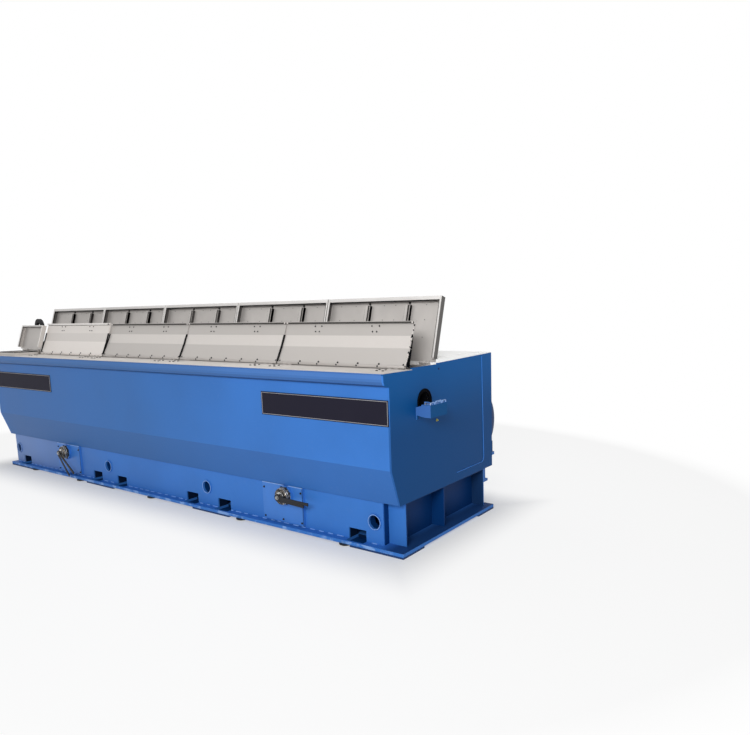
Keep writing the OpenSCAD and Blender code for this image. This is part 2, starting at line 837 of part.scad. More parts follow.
// Body with cooling fins between two end shields, which carry the feet, and a terminal box on top.
module motor() {
    shield_l = 80;
    core_r = motor_r - 26;
    foot_l = 54;
    box = [260, 190, 120];
    box_x = motor_l * 0.55;
    color("midnightblue") place()
        translate([motor_x1, motor_y, motor_z]) rotate([0, -90, 0])
            union() {
                translate([0, 0, shield_l / 2]) cylinder(h = motor_l - shield_l, r = core_r);
                rotate_extrude()
                    polygon([[0, 0], [motor_r - 60, 0], [motor_r - 18, 8], [motor_r, 30],
                             [motor_r, shield_l], [0, shield_l]]);
                translate([0, 0, motor_l - shield_l]) cylinder(h = shield_l, r = motor_r);
                for (a = [7.5 : 15 : 352.5])
                    rotate([0, 0, a])
                        translate([core_r - 14, -5, shield_l - 6])
                            cube([32, 10, motor_l - 2 * shield_l + 12]);
                translate([0, 0, motor_l - 1]) cylinder(h = shaft_gap + 1, r = 48);
                for (x = [(shield_l - foot_l) / 2, motor_l - (shield_l + foot_l) / 2], s = [-1, 1])
                    block([-motor_r - foot_drop, min(s * 150, s * 270), x],
                          [-motor_r + 90, max(s * 150, s * 270), x + foot_l]);
                block([core_r - 20, -box[1] / 2, box_x - box[0] / 2],
                      [core_r + box[2], box[1] / 2, box_x + box[0] / 2]);
                block([core_r + box[2] - 24, -box[1] / 2 - 8, box_x - box[0] / 2 - 8],
                      [core_r + box[2], box[1] / 2 + 8, box_x + box[0] / 2 + 8]);
            }
}

module motor_stand() {
    x0 = motor_x1 - motor_l;
    x1 = motor_x1;
    foot_z = motor_z - motor_r - foot_drop;
    color("royalblue") place()
        union() {
            block([x0 - 60, motor_y - 300, 0], [x1 - 90, motor_y + 300, 25]);
            for (y = [motor_y - 250, motor_y + 200])
                block([x0, y, 25], [x1 - 90, y + 50, foot_z - 30]);
            block([x0, motor_y - 280, foot_z - 30], [x1, motor_y + 280, foot_z]);
        }
}

// The guard is a flat box round the belt, with a round end over the motor pulley.
module belt_guard() {
    x1 = motor_x1 - motor_l - shaft_gap;
    guard_w = 130;
    pulley_r = 230;
    color("royalblue") place()
        union() {
            block([x1 - guard_w, body_d, motor_z - pulley_r], [x1, motor_y, motor_z + pulley_r]);
            bar_x(x1 - guard_w, x1, motor_y, motor_z, pulley_r);
        }
}

base_plate();
sole_plates();
levelling_screws();
base_front_wall();
base_rear_wall();
base_outlet_end();
base_inlet_end();
front_shell();
outlet_end_plate();
inlet_end_plate();
rear_shell();
rear_doors();
belly_plate();
tank_floor();
housing_wall();
gear_deck();
apron();
hinge_rail();
guard_1();
guard_2();
guard_3();
guard_4();
inlet_pan();
cover_1();
cover_2();
cover_3();
cover_4();
cover_5();
capstans();
capstan_shafts();
die_holders();
spray_pipe();
drain_valve_left();
drain_valve_right();
valve_lever_left();
valve_lever_right();
outlet_ring();
outlet_bracket();
inlet_ring();
sign_left();
sign_right();
motor();
motor_stand();
belt_guard();
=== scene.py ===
"""Looks of a wet wire drawing machine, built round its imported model. Metres, Z up."""
import json
import math
import random
import bpy
from mathutils import Matrix, Vector


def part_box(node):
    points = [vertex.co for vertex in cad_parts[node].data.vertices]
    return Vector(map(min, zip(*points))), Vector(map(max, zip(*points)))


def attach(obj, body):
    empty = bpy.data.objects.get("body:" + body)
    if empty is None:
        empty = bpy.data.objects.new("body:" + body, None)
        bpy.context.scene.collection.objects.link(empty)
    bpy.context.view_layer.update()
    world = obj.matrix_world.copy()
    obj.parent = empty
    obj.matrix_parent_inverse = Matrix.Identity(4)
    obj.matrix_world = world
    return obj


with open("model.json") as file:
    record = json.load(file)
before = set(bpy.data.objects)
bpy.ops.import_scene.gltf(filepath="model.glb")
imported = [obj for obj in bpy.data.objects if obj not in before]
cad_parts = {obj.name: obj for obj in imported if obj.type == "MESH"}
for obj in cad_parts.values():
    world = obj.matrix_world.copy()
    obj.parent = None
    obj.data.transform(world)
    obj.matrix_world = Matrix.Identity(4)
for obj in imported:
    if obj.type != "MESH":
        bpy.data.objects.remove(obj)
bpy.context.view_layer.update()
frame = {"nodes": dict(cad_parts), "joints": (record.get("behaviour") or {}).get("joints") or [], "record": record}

# Photograph's camera, solved from the straight edges of the body.
EYE = (5.4295, -4.329, 1.719)
EYE_TURN, EYE_DIP, EYE_ROLL = 0.565, 0.141, 0.018
FOCAL_PX = 618.35
IMAGE_W, IMAGE_H = 750, 735
AXIS_PX = (451.07, 400.2)
SENSOR_MM = 36

# Axes, and the ways that small parts look.
X, Y, Z = 0, 1, 2
TO_OUTLET, TO_INLET, TO_FRONT, TO_REAR, UPWARD = (1, 0, 0), (-1, 0, 0), (0, -1, 0), (0, 1, 0), (0, 0, 1)

# Places of the body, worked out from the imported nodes.
PLATE_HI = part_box("outlet_end_plate")[1]
HALF_L = (PLATE_HI.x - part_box("inlet_end_plate")[0].x) / 2
MID_X = PLATE_HI.x - HALF_L
FACE_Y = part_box("sign_right")[1].y
RIM_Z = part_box("front_shell")[1].z
BODY_D = PLATE_HI.y - FACE_Y
CORNER_Y = FACE_Y + 0.250
SHEET = 0.004
APRON_Z = RIM_Z + SHEET
PIVOTS = {joint["child"]: Vector(joint["pos_m"]) for joint in frame["joints"]}

# Base: long walls, each with its way inward, with collared lifting holes and lined jacking pockets.
BASE_LO, BASE_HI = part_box("base_front_wall")
BASE_X, BASE_HALF = (BASE_LO.x + BASE_HI.x) / 2, (BASE_HI.x - BASE_LO.x) / 2
BASE_WALLS = (("base_front_wall", 1), ("base_rear_wall", -1))
WALL, COLLAR = 0.012, 0.009
HOLE_XS = [BASE_X + x for x in (-BASE_HALF + 0.080, -0.800, 0.800, BASE_HALF - 0.080)]
HOLE_Z = 0.208
POCKET_XS = [BASE_X + side * x for x in (0.575, 1.025, BASE_HALF - 0.250) for side in (-1, 1)]

# Drawing train: capstans in a row, with a die between each two on the wire line.
CAPSTANS, CAPSTAN_PITCH, CAPSTAN_R = 9, 0.600, 0.215
CAPSTAN_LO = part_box("capstans")[0]
WIRE_Y, WIRE_Z = FACE_Y + 0.415, 1.080

# Drains: plate and flange behind the valve body, and the height of the plate.
DRAIN_PLATE, DRAIN_FLANGE, DRAIN_PLATE_H = 0.020, 0.020, 0.312

# Hinged panels: turn at rest, a guard's folded outline over its hinge, a pan's height, depth and lip.
GUARDS = ["guard_%d" % i for i in range(1, 5)]
COVERS = ["cover_%d" % i for i in range(1, 6)]
TURNS = {"guard_1": math.radians(4), "inlet_pan": math.radians(-17)}
TURNS.update({name: math.radians(-16) for name in COVERS})
GUARD_FOLDS = ((0.0, 0.014), (0.0585, 0.1328), (0.0952, 0.2214), (0.136, 0.328))
COVER_H = 0.515
PANS = {"inlet_pan": (0.288, 0.038, 0.016)}
PANS.update({name: (COVER_H, 0.045, 0.029) for name in COVERS})
SIDE_LIP = 0.017
# Channel ribs of a cover, as shares of its half length from the middle.
RIBS = (-0.26, 0.44)

# Paint and metal colours, linear.
BLUE = (0.038, 0.172, 0.540)
# Blue as it looks in shade, for painted shade.
SHADE_BLUE = (0.012, 0.045, 0.150)
STAINLESS = (0.560, 0.530, 0.505)
STEEL = (0.420, 0.420, 0.415)
BLACK = (0.012, 0.012, 0.014)
SIGN_BLACK = (0.012, 0.011, 0.022)
DUST = (0.30, 0.36, 0.46)
WHITE = (1, 1, 1)

# Gloss of the sprayed enamel.
ENAMEL = {"Coat Weight": 0.04, "Coat Roughness": 0.16, "Specular IOR Level": 0.14}


class Value:
    """A shader socket that adds Math nodes when Python expressions use it."""

    def __init__(self, nodes, socket):
        self.nodes = nodes
        self.socket = socket

    def __add__(self, other):
        return self.nodes.maths("ADD", self, other)

    def __radd__(self, other):
        return self.nodes.maths("ADD", other, self)

    def __sub__(self, other):
        return self.nodes.maths("SUBTRACT", self, other)

    def __rsub__(self, other):
        return self.nodes.maths("SUBTRACT", other, self)

    def __mul__(self, other):
        return self.nodes.maths("MULTIPLY", self, other)

    def __rmul__(self, other):
        return self.nodes.maths("MULTIPLY", other, self)

    def __abs__(self):
        return self.nodes.maths("ABSOLUTE", self)


class Nodes:
    """A node tree that is written as expressions."""

    def __init__(self, tree):
        self.tree = tree

    def plug(self, socket, value):
        """Gives a socket a constant or a link."""
        if isinstance(value, Value):
            self.tree.links.new(value.socket, socket)
        elif isinstance(value, tuple) and socket.type == "RGBA":
            socket.default_value = (*value, 1.0)
        else:
            socket.default_value = value

    def node(self, kind, settings=None, inputs=None, output=0):
        """Adds any node: its settings first, then the values or links of its sockets."""
        node = self.tree.nodes.new(kind)
        for key, value in (settings or {}).items():
            setattr(node, key, value)
        for key, value in (inputs or {}).items():
            self.plug(node.inputs[key], value)
        return Value(self, node.outputs[output])

    def maths(self, operation, first, second=0.0):
        return self.node("ShaderNodeMath", {"operation": operation}, {0: first, 1: second})


class Finish(Nodes):
    """A material and the nodes behind it."""

    def __init__(self, name, fixed=None):
        self.material = bpy.data.materials.new(name)
        self.material.use_nodes = True
        super().__init__(self.material.node_tree)
        self.shader = self.tree.nodes["Principled BSDF"]
        for socket, value in (fixed or {}).items():
            self.set(socket, value)

    def set(self, socket, value):
        """Writes a constant or a link to one of the shader's own sockets."""
        self.plug(self.shader.inputs[socket], value)

    def place(self, stretch=(1, 1, 1)):
        """Object coordinates in metres, stretched."""
        coords = self.node("ShaderNodeTexCoord", output="Object")
        return self.node("ShaderNodeMapping", inputs={"Vector": coords, "Scale": stretch})

    def part(self, vector, axis):
        return self.node("ShaderNodeSeparateXYZ", inputs={"Vector": vector}, output=axis)

    def spot(self, axis):
        """The object coordinate along an axis."""
        return self.part(self.place(), axis)

    def way(self, axis):
        """How far the surface looks along an axis."""
        return self.part(self.node("ShaderNodeNewGeometry", output="Normal"), axis)

    def noise(self, scale, detail, rough=0.5, stretch=(1, 1, 1)):
        return self.node("ShaderNodeTexNoise", inputs={
            "Vector": self.place(stretch), "Scale": scale, "Detail": detail, "Roughness": rough})

    def step(self, value, low, high):
        """0 under low and 1 over high, smooth between. It falls where low is the larger one."""
        return self.node("ShaderNodeMapRange", {"interpolation_type": "SMOOTHSTEP"}, {
            "Value": value, "From Min": low, "From Max": high})

    def mix(self, factor, first, second):
        return self.node("ShaderNodeMix", {"data_type": "RGBA"}, {0: factor, 6: first, 7: second}, output=2)

    def clouds(self, cloud, dark, light, low=0.3, high=0.7):
        """Faint clouds of two colours."""
        return self.mix(self.step(cloud, low, high), dark, light)

    def bump(self, height, distance, strength, edge):
        """Fine relief on rounded edges."""
        normal = self.node("ShaderNodeBevel", {"samples": 4}, {"Radius": edge})
        self.set("Normal", self.node("ShaderNodeBump", inputs={
            "Height": height, "Distance": distance, "Strength": strength, "Normal": normal}))

    def peel(self, edge=0.003, distance=0.00025, strength=0.5):
        """Orange peel of sprayed enamel."""
        self.bump(self.noise(420.0, 2.0), distance, strength, edge)

    def sprayed(self, shade, cloud, rough=0.38, dust_level=0.06, edge=0.003):
        """Ends an enamel: dust on its colour, its roughness and its orange peel."""
        fine = self.noise(38.0, 3.0, 0.6)
        self.set("Base Color", self.mix(self.step(fine, 0.55, 0.85) * dust_level, shade, DUST))
        self.set("Roughness", rough + 0.12 * cloud + 0.05 * fine)
        self.peel(edge)


def tint(colour, factor):
    return tuple(c * factor for c in colour)


def paint(name, colour, edge=0.003, rough=0.38):
    """Sprayed enamel with faint clouding and dust on it."""
    finish = Finish(name, ENAMEL)
    cloud = finish.noise(1.3, 4.0)
    shade = finish.clouds(cloud, tint(colour, 0.93), tint(colour, 1.07))
    finish.sprayed(shade, cloud, rough, 0.08, edge)
    return finish.material


def valve_paint(side):
    """Blue plate and flange, with a speckled black valve body in front of them."""
    finish = Finish(side + " drain", {"Specular IOR Level": 0.35})
    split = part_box("drain_valve_" + side)[1].y - DRAIN_PLATE - DRAIN_FLANGE - 0.0005
    across = finish.spot(Y)
    back = finish.step(across, split - 0.0004, split + 0.0004)
    cloud = finish.noise(9.0, 4.0)
    speck = finish.step(finish.noise(70.0, 4.0, 0.7), 0.53, 0.60)
    body = finish.mix(speck, BLACK, (0.44, 0.38, 0.30))
    blue = finish.mix(cloud, tint(BLUE, 0.95), tint(BLUE, 1.15))
    finish.set("Base Color", finish.mix(back, body, blue))
    finish.set("Metallic", 0.5 * speck - 0.5 * back)
    finish.set("Roughness", 0.30 + 0.15 * cloud)
    finish.bump(cloud, 0.0003, 0.4, 0.002)
    return finish.material


def shell_paint():
    """Enamel of the body: greyer rim with lines of painted shade and highlight, painted shade under the rim, on
    the lower band and towards the inlet.
    """
    finish = Finish("body enamel with painted shade", ENAMEL)
    along, across, up = finish.spot(X), finish.spot(Y), finish.spot(Z)
    tilt = finish.way(Z)
    cloud = finish.noise(1.3, 4.0)
    shade = finish.clouds(cloud, tint(BLUE, 0.94), tint(BLUE, 1.06))
    on_rim = finish.step(across, FACE_Y - 0.025, FACE_Y - 0.035)
    below = RIM_Z - up
    # Painted shade on a band of the rim, where its lower facet turns from the light.
    shaded_band = finish.step(below, 0.036, 0.040) - finish.step(below, 0.078, 0.082)
    shade = finish.mix(on_rim * 0.30, shade, (0.12, 0.20, 0.36))
    # Lines across the rim: the band of painted shade, a painted shadow under the apron at the top and a painted
    # highlight along the rim's foot.
    for line, share, colour in ((shaded_band, 0.30, tint(BLUE, 0.6)),
                                (finish.step(below, 0.012, 0.010), 0.35, tint(SHADE_BLUE, 2.0)),
                                (finish.step(below, 0.088, 0.091), 0.35, tint(BLUE, 1.7))):
        shade = finish.mix(on_rim * line * share, shade, colour)
    # Painted shade on the lower band, which looks down.
    shade = finish.mix(finish.step(tilt, -0.18, -0.24) * 0.42, shade, tint(BLUE, 0.45))
    # Painted shade on the underside of the rim.
    shade = finish.mix(finish.step(tilt, -0.40, -0.50) * 0.85, shade, tint(SHADE_BLUE, 1.2))
    # Painted shade that grows towards the inlet end, where less light falls.
    far = finish.step(along, 2.3, -0.6)
    shade = finish.mix(far * 0.44, shade, (0.022, 0.095, 0.235))
    finish.sprayed(shade, cloud)
    return finish.material


def plate_paint():
    """Enamel of the outlet end in painted shade, darker towards the foot, with its front edge painted as lit as
    the face.
    """
    finish = Finish("outlet end enamel in painted shade", {"Specular IOR Level": 0.08})
    front = finish.way(Y)
    up = finish.spot(Z)
    cloud = finish.noise(1.1, 3.0)
    # Painted shade: the end plate looks away from the light.
    shade = finish.clouds(cloud, (0.004, 0.096, 0.318), (0.007, 0.103, 0.345))
    # Painted light: the edge that looks to the front gets the lit blue of the face.
    edge = finish.step(front, -0.5, -0.7) * finish.step(up, RIM_Z - 0.010, RIM_Z - 0.012)
    shade = finish.mix(edge, shade, tint(BLUE, 1.15))
    # Darker towards the foot.
    low = finish.step(up, 1.36, 0.80)
    finish.set("Base Color", finish.mix(low * 0.55, shade, (0.003, 0.030, 0.110)))
    finish.set("Roughness", 0.45 + 0.1 * cloud)
    finish.peel()
    return finish.material


def end_paint():
    """Blue on the corner panel that looks to the front, painted shade on all that lies under the overhang."""
    finish = Finish("recessed end walls in painted shade", {"Specular IOR Level": 0.10})
    front = finish.way(Y)
    across = finish.spot(Y)
    cloud = finish.noise(2.2, 4.0)
    # Only the corner panel keeps the lit blue; the rest gets painted shade.
    lit = finish.step(front, -0.4, -0.6) * finish.step(across, CORNER_Y + 0.004, CORNER_Y)
    dark = finish.mix(cloud, (0.001, 0.030, 0.135), (0.003, 0.040, 0.165))
    finish.set("Base Color", finish.mix(lit, dark, tint(BLUE, 0.98)))
    finish.set("Roughness", 0.42 + 0.1 * cloud)
    finish.peel()
    return finish.material


def collar_y(wall, inward):
    """Y of the outer face of a base wall's collars."""
    lo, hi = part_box(wall)
    return lo.y if inward > 0 else hi.y


def wall_paint(name, wall, inward):
    """Base wall enamel: greyer and lighter towards the inlet, painted shade inside the linings of its pockets."""
    finish = Finish(name, ENAMEL)
    inlet_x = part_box(wall)[0].x
    face_y = collar_y(wall, inward) + inward * COLLAR
    along, across = finish.spot(X), finish.spot(Y)
    cloud = finish.noise(1.6, 4.0)
    fine = finish.noise(30.0, 3.0, 0.6)
    shade = finish.clouds(cloud, tint(BLUE, 0.93), tint(BLUE, 1.06))
    haze = finish.step(along, inlet_x + 2.2, inlet_x)
    shade = finish.mix(haze * 0.42 + finish.step(fine, 0.55, 0.85) * 0.06, shade, (0.30, 0.36, 0.50))
    # Painted shade inside the linings of the pockets, behind the wall's thickness.
    lining_shade = finish.step((across - face_y) * inward, WALL - 0.0015, WALL + 0.0005)
    finish.set("Base Color", finish.mix(lining_shade, shade, (0.003, 0.012, 0.040)))
    finish.set("Roughness", 0.38 + 0.12 * cloud + 0.05 * fine)
    finish.peel()
    return finish.material


def base_paint():
    """Base plate enamel: pale worn front edge, painted shade on the top under the overhang of the outlet end and
    in the notches of the jacking pockets.
    """
    finish = Finish("base plate enamel", {"Specular IOR Level": 0.14})
    front_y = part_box("base_plate")[0].y
    front, up = finish.way(Y), finish.way(Z)
    along, across = finish.spot(X), finish.spot(Y)
    cloud = finish.noise(2.0, 4.0)
    worn = finish.step(finish.noise(9.0, 4.0, 0.65), 0.46, 0.60)
    edge = finish.step(front, -0.5, -0.8)
    shade = finish.mix(cloud, tint(BLUE, 0.90), tint(BLUE, 1.12))
    shade = finish.mix(edge * worn * 0.75, shade, (0.26, 0.44, 0.78))
    # Painted shade on the top under the overhang of the outlet end.
    overhang_shade = finish.step(up, 0.6, 0.9) * finish.step(along, BASE_HI.x - 0.02, BASE_HI.x + 0.12)
    shade = finish.mix(overhang_shade * 0.85, shade, (0.006, 0.028, 0.110))
    # Painted shade on the back faces of the jacking pockets' notches.
    notch = edge * finish.step(across, front_y + 0.004, front_y + 0.008)
    finish.set("Base Color", finish.mix(notch, shade, (0.003, 0.014, 0.050)))
    finish.set("Roughness", 0.40 + 0.12 * cloud)
    finish.peel()
    return finish.material


def bracket_paint():
    """Enamel of the bracket, in painted shade as dark as the end plate on the side that looks along the machine,
    with a painted highlight on its top.
    """
    finish = Finish("bracket enamel with painted light and shade", {"Specular IOR Level": 0.05})
    along, up = finish.way(X), finish.way(Z)
    cloud = finish.noise(5.0, 3.0)
    shade = finish.mix(cloud, (0.046, 0.140, 0.400), (0.056, 0.162, 0.455))
    # Painted shade on the faces that look towards the outlet.
    shade = finish.mix(finish.step(along, 0.5, 0.7), shade, (0.003, 0.075, 0.235))
    # Painted highlight on the faces that look up.
    finish.set("Base Color", finish.mix(finish.step(up, 0.5, 0.7), shade, (0.070, 0.220, 0.540)))
    finish.set("Roughness", 0.42 + 0.1 * cloud)
    finish.peel(0.002)
    return finish.material


def white_enamel():
    """White lids of the deck, with a faint glow of painted light."""
    # The emission is painted light that keeps the lids white.
    finish = Finish("white deck enamel with painted glow", {
        "Base Color": (0.90, 0.90, 0.89), "Roughness": 0.5, "Specular IOR Level": 0.1,
        "Emission Color": WHITE, "Emission Strength": 0.14})
    finish.peel(0.002, 0.0002, 0.4)
    return finish.material


def cover_sheet():
    """Stainless pan with painted shade on every face that looks towards the outlet: its outer cheek, the inner
    face of its other cheek and the flanks of its ribs.
    """
    finish = Finish("rear cover sheet with painted shade", {"Specular IOR Level": 0.3})
    along = finish.way(X)
    grain = finish.noise(26.0, 3.0, 0.6, (1.0, 30.0, 30.0))
    marks = finish.noise(2.6, 5.0, 0.6)
    shade = finish.clouds(marks, tint(STAINLESS, 0.98), tint(STAINLESS, 1.14), 0.35, 0.75)
    # Painted shade on faces that look towards the outlet.
    cheek = finish.step(along, 0.6, 0.8)
    shade = finish.mix(cheek, shade, tint(STAINLESS, 0.14))
    finish.set("Base Color", finish.mix(grain * 0.22, shade, tint(STAINLESS, 0.72)))
    finish.set("Metallic", 0.36 - 0.34 * cheek)
    finish.set("Roughness", 0.44 + 0.10 * grain)
    finish.bump(grain, 0.00012, 0.5, 0.0015)
    return finish.material


def brushed(name, colour, rough=0.42, metallic=0.45, bands=()):
    """Rolled sheet with a fine grain and faint hand marks; bands are painted shading, (height, tint) from the foot
    up.
    """
    finish = Finish(name, {"Specular IOR Level": 0.3, "Metallic": metallic})
    grain = finish.noise(26.0, 3.0, 0.6, (1.0, 30.0, 30.0))
    marks = finish.noise(2.1, 5.0, 0.6)
    shade = finish.clouds(marks, tint(colour, 0.94), tint(colour, 1.06), 0.35, 0.75)
    # Painted shading of the folds.
    for low, factor in bands:
        over = finish.step(finish.spot(Z), low - 0.002, low + 0.002)
        shade = finish.mix(over, shade, tint(colour, factor))
    finish.set("Base Color", finish.mix(grain * 0.25, shade, tint(colour, 0.84)))
    finish.set("Roughness", rough + 0.10 * grain + 0.16 * finish.step(marks, 0.45, 0.8))
    finish.bump(grain, 0.00012, 0.5, 0.0015)
    return finish.material


def machined(name, colour, rough=0.28):
    """Turned or milled steel with a film of oil in places."""
    finish = Finish(name, {"Metallic": 0.95})
    grain = finish.noise(160.0, 3.0)
    film = finish.step(finish.noise(7.0, 3.0), 0.42, 0.7)
    finish.set("Base Color", finish.mix(film, colour, tint(colour, 0.78)))
    finish.set("Roughness", rough + 0.14 * grain + 0.10 * film)
    finish.bump(grain, 0.0001, 0.4, 0.0012)
    return finish.material


def dull(name, colour, rough, grain_scale=300.0, metallic=0.0, dust_level=0.25, specular=0.5):
    """Blackened steel, rubber or a sign's black enamel, with dust on it."""
    finish = Finish(name, {"Specular IOR Level": specular, "Metallic": metallic})
    grain = finish.noise(grain_scale, 3.0)
    dust = finish.step(finish.noise(5.0, 5.0, 0.65), 0.45, 0.8)
    finish.set("Base Color", finish.mix(dust * dust_level, colour, (0.09, 0.09, 0.10)))
    finish.set("Roughness", rough + 0.12 * grain + 0.12 * dust)
    finish.bump(grain, 0.0002, 0.5, 0.0012)
    return finish.material


# Painted shading of the guards' folded bands: a tint from each height above the floor, for the light that each
# fold takes.
GUARD_FOLD_SHADES = ((0.0, 0.93), (1.469, 1.16), (1.557, 0.87))
FIRST_GUARD_FOLD_SHADES = ((0.0, 1.44), (1.478, 1.19), (1.566, 1.32))

MATERIALS = {
    "blue_paint": paint("blue enamel", BLUE),
    # Lighter blue, for the louvres and, as a painted highlight, for the bead on the shaded end plate.
    "lighter_blue": paint("lighter blue enamel", tint(BLUE, 1.25), rough=0.4),
    "weld_paint": paint("blue enamel over weld", (0.20, 0.40, 0.80), 0.001, 0.22),
    # Pale blue: a painted highlight on the drain plates' top edges; also the lips of the lifting holes and the
    # bracket's wire loops.
    "pale_blue": paint("pale blue edges", (0.27, 0.43, 0.76), 0.001, 0.3),
    # Painted shade: blue as it looks in shade, for parts, bolts and edges that lie in shade.
    "dark_blue_paint": paint("blue enamel in painted shade", SHADE_BLUE, rough=0.42),
    "shell": shell_paint(),
    "end_plate": plate_paint(),
    "end_walls": end_paint(),
    "front_wall": wall_paint("base wall enamel", *BASE_WALLS[0]),
    "rear_wall": wall_paint("rear base wall enamel", *BASE_WALLS[1]),
    "base": base_paint(),
    "bracket": bracket_paint(),
    "white_deck": white_enamel(),
    "drain_left": valve_paint("left"),
    "drain_right": valve_paint("right"),
    "stainless_sheet": brushed("stainless sheet", STAINLESS),
    # Guard sheets with painted shading on their folds; the first guard, turned a little, is painted lighter.
    "guard_sheet": brushed("folded guard sheet", STAINLESS, bands=GUARD_FOLD_SHADES),
    "first_guard": brushed("first guard's sheet", STAINLESS, bands=FIRST_GUARD_FOLD_SHADES),
    "cover_sheet": cover_sheet(),
    # Lighter stainless: a painted highlight on the apron's front fold, the last guard's ragged hem and the rail
    # ends of guards 2 to 4; also the bracket's staple.
    "bright_sheet": brushed("lighter stainless edge", tint(STAINLESS, 1.22), 0.24),
    # Painted highlight on the lips of the pans.
    "white_sheet": brushed("lip sheet in painted highlight", (0.74, 0.72, 0.70), 0.5, 0.1),
    # Painted highlight on the first guard's rail.
    "white_rail": brushed("rail in painted highlight", (0.92, 0.90, 0.88), 0.5, 0.05),
    "polished_steel": machined("polished steel", tint(STEEL, 1.4), 0.14),
    "machined_steel": machined("machined steel", STEEL),
    "dark_steel": machined("dull stainless", tint(STEEL, 0.55), 0.4),
    "brass": machined("brass", (0.50, 0.46, 0.10), 0.35),
    # Painted shade on the rails of guards 2 to 4.
    "shaded_rail": dull("grey rail in painted shade", (0.050, 0.047, 0.044), 0.6, metallic=0.1, specular=0.3),
    "rib_shade": dull("shaded rib", (0.070, 0.064, 0.060), 0.6, dust_level=0.1, specular=0.1),
    "black_parts": dull("blackened steel", BLACK, 0.4, metallic=0.2, dust_level=0.12, specular=0.3),
    "black_rubber": dull("black rubber", tint(BLACK, 0.6), 0.66, dust_level=0.06, specular=0.12),
    "dark_ring": dull("grey black bush", (0.020, 0.020, 0.022), 0.6, dust_level=0.1, specular=0.2),
    # Matt black: the outlet's bush, and painted shade far inside the outlet and behind the last guard's hem.
    "black_bush_and_shade": dull("matt black bush and painted shade", (0.002, 0.002, 0.003), 0.7, dust_level=0.0, specular=0.04),
    "sign_plate": dull("black sign enamel", SIGN_BLACK, 0.55, 120.0, dust_level=0.04, specular=0.10),
    "sign_border": dull("pale sign line", (0.36, 0.36, 0.38), 0.4),
}

# Nodes whose finish differs from the one of their slot.
NODE_FINISH = {
    "front_shell": "shell", "outlet_end_plate": "end_plate", "base_outlet_end": "end_walls",
    "base_front_wall": "front_wall", "base_rear_wall": "rear_wall", "base_plate": "base",
    "drain_valve_left": "drain_left", "drain_valve_right": "drain_right", "gear_deck": "white_deck",
    "outlet_bracket": "bracket", "outlet_ring": "black_bush_and_shade", "inlet_ring": "dark_ring"}
NODE_FINISH.update({name: "cover_sheet" for name in COVERS})
NODE_FINISH.update({name: "guard_sheet" for name in GUARDS})
NODE_FINISH["guard_1"] = "first_guard"


def deselect():
    if bpy.context.object and bpy.context.object.mode == "EDIT":
        bpy.ops.object.mode_set(mode="OBJECT")
    bpy.ops.object.select_all(action="DESELECT")


def only(*pieces):
    deselect()
    for piece in pieces:
        piece.select_set(True)
    bpy.context.view_layer.objects.active = pieces[0]


def pick(piece, kind, test):
    """Goes into edit mode with only those faces or edges selected that pass the test."""
    only(piece)
    bpy.ops.object.mode_set(mode="EDIT")
    bpy.ops.mesh.select_mode(type=kind)
    bpy.ops.mesh.select_all(action="DESELECT")
    bpy.ops.object.mode_set(mode="OBJECT")
    for part in piece.data.polygons if kind == "FACE" else piece.data.edges:
        part.select = test(part)
    bpy.ops.object.mode_set(mode="EDIT")


def settle(piece):
    """Applies place, turn and scale, and goes back to object mode."""
    only(piece)
    bpy.ops.object.transform_apply(location=True, rotation=True, scale=True)
    return piece


def modify(piece, kind, **settings):
    only(piece)
    modifier = piece.modifiers.new(kind.lower(), kind)
    for key, value in settings.items():
        setattr(modifier, key, value)
    bpy.ops.object.modifier_apply(modifier=modifier.name)
    return piece


def join(pieces):
    only(*pieces)
    if len(pieces) > 1:
        bpy.ops.object.join()
    return pieces[0]


def block(lo, hi, soft=0.0015):
    """A box between two corners with softened edges."""
    lo, hi = Vector(lo), Vector(hi)
    deselect()
    bpy.ops.mesh.primitive_cube_add(size=1, location=(lo + hi) / 2, scale=hi - lo)
    piece = settle(bpy.context.object)
    return modify(piece, "BEVEL", width=min(soft, min(hi - lo) * 0.3), segments=2) if soft else piece


def bar(x0, x1, lo, hi, soft=0.0015):
    """A box between two places along X, in either order, and two corners across it."""
    return block((min(x0, x1), *lo), (max(x0, x1), *hi), soft)


def rod(radius, length, sides=16, soft=0.0):
    """A round bar from the origin up along Z."""
    deselect()
    bpy.ops.mesh.primitive_cylinder_add(vertices=sides, radius=radius, depth=length,
                                        location=(0, 0, length / 2))
    piece = settle(bpy.context.object)
    return modify(piece, "BEVEL", width=soft, segments=2, limit_method="ANGLE") if soft else piece


def ring(radius, thick, sides, round_sides):
    deselect()
    bpy.ops.mesh.primitive_torus_add(major_radius=radius, minor_radius=thick, major_segments=sides,
                                     minor_segments=round_sides)
    return settle(bpy.context.object)


def sink(piece, steps, rise):
    """Insets the top face of a round piece by one or more steps and moves what is left up or down."""
    pick(piece, "FACE", lambda face: face.normal.z > 0.95)
    for step in steps:
        bpy.ops.mesh.inset(thickness=step)
    bpy.ops.transform.translate(value=(0, 0, rise))
    return settle(piece)


def bolt(radius, height):
    """A hex head with a raised top on its washer, standing at the origin along Z."""
    washer = 0.0015
    deselect()
    bpy.ops.mesh.primitive_cylinder_add(vertices=6, radius=radius, depth=height,
                                        location=(0, 0, washer + height / 2))
    head = sink(settle(bpy.context.object), [radius * 0.16], height * 0.14)
    return join([head, rod(radius * 1.32, washer)])


def screw(radius, height):
    """A low round head with a sunk socket."""
    return sink(rod(radius, height, 14, radius * 0.22), [radius * 0.38], -height * 0.45)


def facing(point, way):
    """A place at a point whose Z looks along a way."""
    return Matrix.Translation(point) @ Vector(way).to_track_quat("Z", "Y").to_matrix().to_4x4()


def facings(points, way):
    return [facing(point, way) for point in points]


